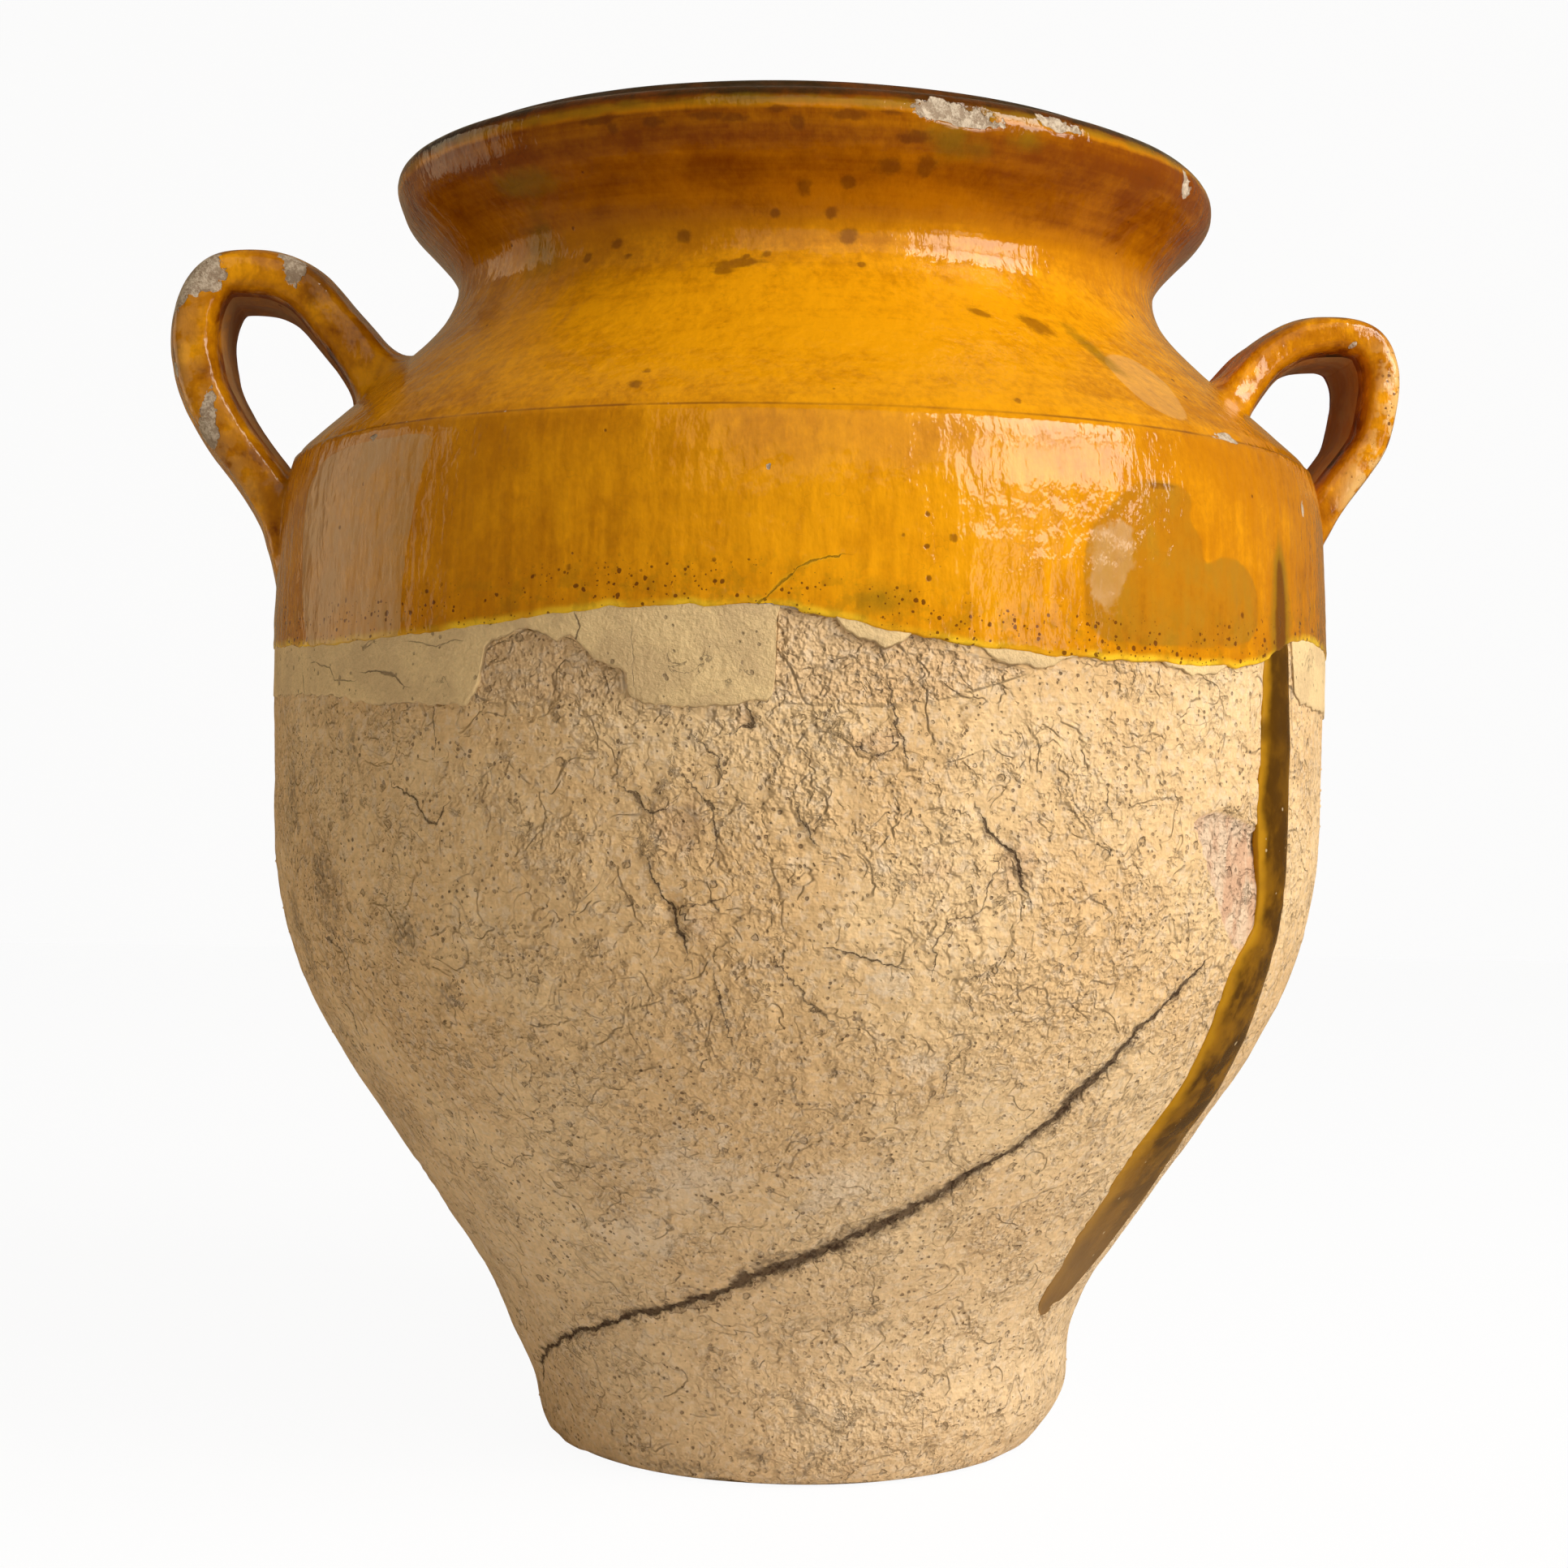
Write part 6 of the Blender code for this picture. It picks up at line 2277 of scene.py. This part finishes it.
@dataclass
class Studio:
    """Floor, backdrop, lamps, world and camera."""

    distance: float = 549.52
    height: float = 141.33
    yaw: float = -0.005251
    pitch: float = 0.0033805
    roll: float = 0.0165522
    focal: float = 3000.0
    picture: float = 1932.0
    sensor: float = 36.0
    ambient: float = 0.155

    def camera(self) -> None:
        """Camera at the photograph's place and angle."""
        data = bpy.data.cameras.new("view")
        data.sensor_width = self.sensor
        data.lens = self.sensor * self.focal / self.picture
        data.clip_start, data.clip_end = 0.01, 20.0
        thing = linked("view", data)
        c, s = math.cos(self.pitch), math.sin(self.pitch)
        lift = Matrix(((1, 0, 0), (0, c, -s), (0, s, c)))
        c, s = math.cos(self.yaw), math.sin(self.yaw)
        swing = Matrix(((c, s, 0), (-s, c, 0), (0, 0, 1)))
        turn = Matrix.Rotation(-math.radians(VIEW_TURN), 3, "Z")
        rot = turn @ swing @ lift
        c, s = math.cos(self.roll), math.sin(self.roll)
        right = rot @ Vector((c, 0, s))
        up = rot @ Vector((-s, 0, c))
        ahead = rot @ Vector((0, 1, 0))
        frame3 = Matrix((right, up, -ahead)).transposed()
        place = turn @ Vector((0, -self.distance * MM, self.height * MM))
        thing.matrix_world = Matrix.Translation(place) @ frame3.to_4x4()
        bpy.context.scene.camera = thing

    def lamp(
        self, name: str, azimuth: float, elevation: float, distance: float, size: tuple,
        level: float, tint: tuple,
    ) -> None:
        """Add a rectangular soft lamp that faces the pot.

        Args:
            name: its name.
            azimuth: degrees from the front towards +X.
            elevation: degrees above the pot's middle.
            distance: metres from the pot's middle.
            size: width and height in metres.
            level: radiance, where 1 is white.
            tint: colour.
        """
        data = bpy.data.lights.new(name, "AREA")
        data.shape = "RECTANGLE"
        data.size, data.size_y = size
        data.color = tint
        data.energy = level * math.pi * size[0] * size[1]
        a, e = math.radians(azimuth), math.radians(elevation)
        way = Vector((math.sin(a) * math.cos(e), -math.cos(a) * math.cos(e), math.sin(e)))
        thing = linked(name, data)
        thing.location = Vector((0, 0, 0.15)) + way * distance
        thing.rotation_mode = "QUATERNION"
        thing.rotation_quaternion = way.to_track_quat("Z", "Y")
        thing.visible_camera = False

    def plane(self, name: str, corners: list, material: bpy.types.Material) -> None:
        """Add a stage plane.

        Args:
            name: its name.
            corners: four corners in metres.
            material: its material.
        """
        mesh = bpy.data.meshes.new(name)
        mesh.from_pydata(corners, [], [(0, 1, 2, 3)])
        mesh.materials.append(material)
        thing = linked(name, mesh)
        thing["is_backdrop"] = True

    def build(self) -> None:
        """Set the whole stage."""
        self.camera()
        white = StageFinish("stage_white", "", 1.0).make()
        self.plane("floor", [(-0.95, -0.6, 0), (0.95, -0.6, 0), (0.95, 1.6, 0), (-0.95, 1.6, 0)], white)
        self.plane("backdrop", [(-0.95, 1.6, 0), (0.95, 1.6, 0), (0.95, 1.6, 1.2), (-0.95, 1.6, 1.2)], white)
        self.lamp("window_high", 56.0, 41.0, 1.5, (0.80, 0.44), 11.4, (1.0, 0.98, 0.95))
        self.lamp("window_low", 50.0, 23.0, 1.5, (0.95, 0.40), 9.4, (1.0, 0.98, 0.95))
        self.lamp("garden", 41.0, 4.0, 1.5, (0.34, 0.36), 2.8, (1.0, 0.95, 0.9))
        self.lamp("ceiling", 4.0, 38.0, 1.6, (1.6, 1.0), 0.85, (1.0, 0.95, 0.82))
        self.lamp("left_wall", -108.0, 10.0, 1.1, (0.72, 0.9), 1.05, (1.0, 0.82, 0.56))
        world = bpy.data.worlds.new("room")
        bpy.context.scene.world = world
        world.use_nodes = True
        net = Net(world.node_tree)
        room = world.node_tree.nodes["Background"]
        room.inputs["Color"].default_value = (1.0, 0.82, 0.60, 1.0)
        room.inputs["Strength"].default_value = self.ambient
        white = net.add("ShaderNodeBackground", {"Strength": 1.0})[0]
        path = net.add("ShaderNodeLightPath")
        seen = net.most(path["Is Camera Ray"], path["Is Transmission Ray"])
        both = net.add("ShaderNodeMixShader", (seen, Value(net, room.outputs[0]), white))[0]
        net.wire(both, world.node_tree.nodes["World Output"].inputs[0])
        bpy.context.scene.view_settings.view_transform = "Standard"
        log.info("stage set")


def main() -> None:
    """Build the pot in the order in which it was made, then the stage."""
    fx = Effects()
    shop = Workshop()
    clay = ClayFinish("worn_clay", "bare_clay", 0.92, 1.45, gloss=0.3)
    slip = SlipFinish("pale_slip_skin", "pale_slip", 0.8, 1.45)
    honey = GlazeFinish("honey_lead_glaze", "honey_glaze", 0.09, 1.42, gloss=0.42)
    strap = GlazeFinish("handle_lead_glaze", "handle_glaze", 0.12, 1.45, gloss=0.5, mottle=1.7)
    lining = LiningFinish("lining_lead_glaze", "inner_glaze", 0.22, 1.5)
    run = RunFinish("run_of_glaze", "run_glaze", 0.25, 1.4, gloss=0.12)
    clay_material = clay.make(fx)
    body = ClayBody(shop, clay_material, clay.slot).build()
    Crumbs(shop, clay_material, clay.slot, body=body).build()
    SlipCoat(shop, slip.make(fx), slip.slot).build()
    OuterGlaze(shop, honey.make(fx), honey.slot).build()
    InnerGlaze(shop, lining.make(fx), lining.slot).build()
    GlazeRun(shop, run.make(fx), run.slot).build()
    strap_material = strap.make(fx)
    Handle(
        shop, strap_material, strap.slot, "left_strap", "left_handle",
        side=-1, thickness=11.4, shaded_inner_tone=0.02, tone_outer=0.58,
        outline=(
            (84.5, 225.5), (91.7, 236.3), (100.7, 246.3), (106.0, 252.4), (110.5, 255.3), (114.9, 257.1),
            (120.0, 257.9), (128.0, 257.4), (132.5, 255.3), (135.9, 251.4), (138.25, 246.5), (139.3, 239.4),
            (138.9, 233.7), (136.9, 225.3), (131.3, 215.1), (124.5, 206.4), (118.8, 197.1), (116.3, 186.6),
            (112.0, 178.0),
        ),
        bare=(
            (0.405, 0.66, 0.76, 0.95, 0.046), (0.455, 0.72, 0.70, 1.10, 0.056),
            (0.50, 0.85, 0.50, 0.60, 0.034), (0.21, 0.45, 0.88, 0.60, 0.032),
            (0.76, 0.42, 0.90, 0.60, 0.034), (0.62, 0.7, 0.7, 0.22, 0.014),
        ),
        dark=((0.34, 0.8, 0.5, 0.7, 0.05), (0.16, 0.4, 0.9, 0.8, 0.05), (0.6, 0.5, 0.6, 0.5, 0.04)),
    ).build()
    Handle(
        shop, strap_material, strap.slot, "right_strap", "right_handle", tone_outer=0.56, wear=0.9,
        outline=(
            (86.5, 226.0), (93.1, 234.9), (99.4, 242.4), (104.0, 245.8), (108.6, 248.5), (113.2, 249.9),
            (117.8, 250.2), (122.5, 250.0), (127.6, 248.4), (130.9, 245.4), (133.25, 240.2), (133.8, 235.0),
            (133.3, 230.0), (130.9, 219.9), (126.0, 212.5), (120.6, 205.1), (116.8, 197.7), (112.0, 189.0),
        ),
        bare=((0.38, -0.3, 0.9, 0.2, 0.012), (0.60, 0.8, 0.7, 0.2, 0.01)),
        dark=((0.3, 0.7, 0.6, 0.6, 0.04), (0.72, 0.5, 0.7, 0.3, 0.02)),
    ).build()
    Studio().build()
    sizes = {
        "cad": [list(CAD_BOX[0]), list(CAD_BOX[1])],
        "visual": [list(corner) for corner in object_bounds()],
    }
    for name, box in sizes.items():
        log.info("%s box in millimetres: %s", name, np.round(np.array(box) / MM, 2).tolist())


if __name__ == "__main__":
    logging.basicConfig(level=logging.INFO, format="%(name)s: %(message)s")
    main()
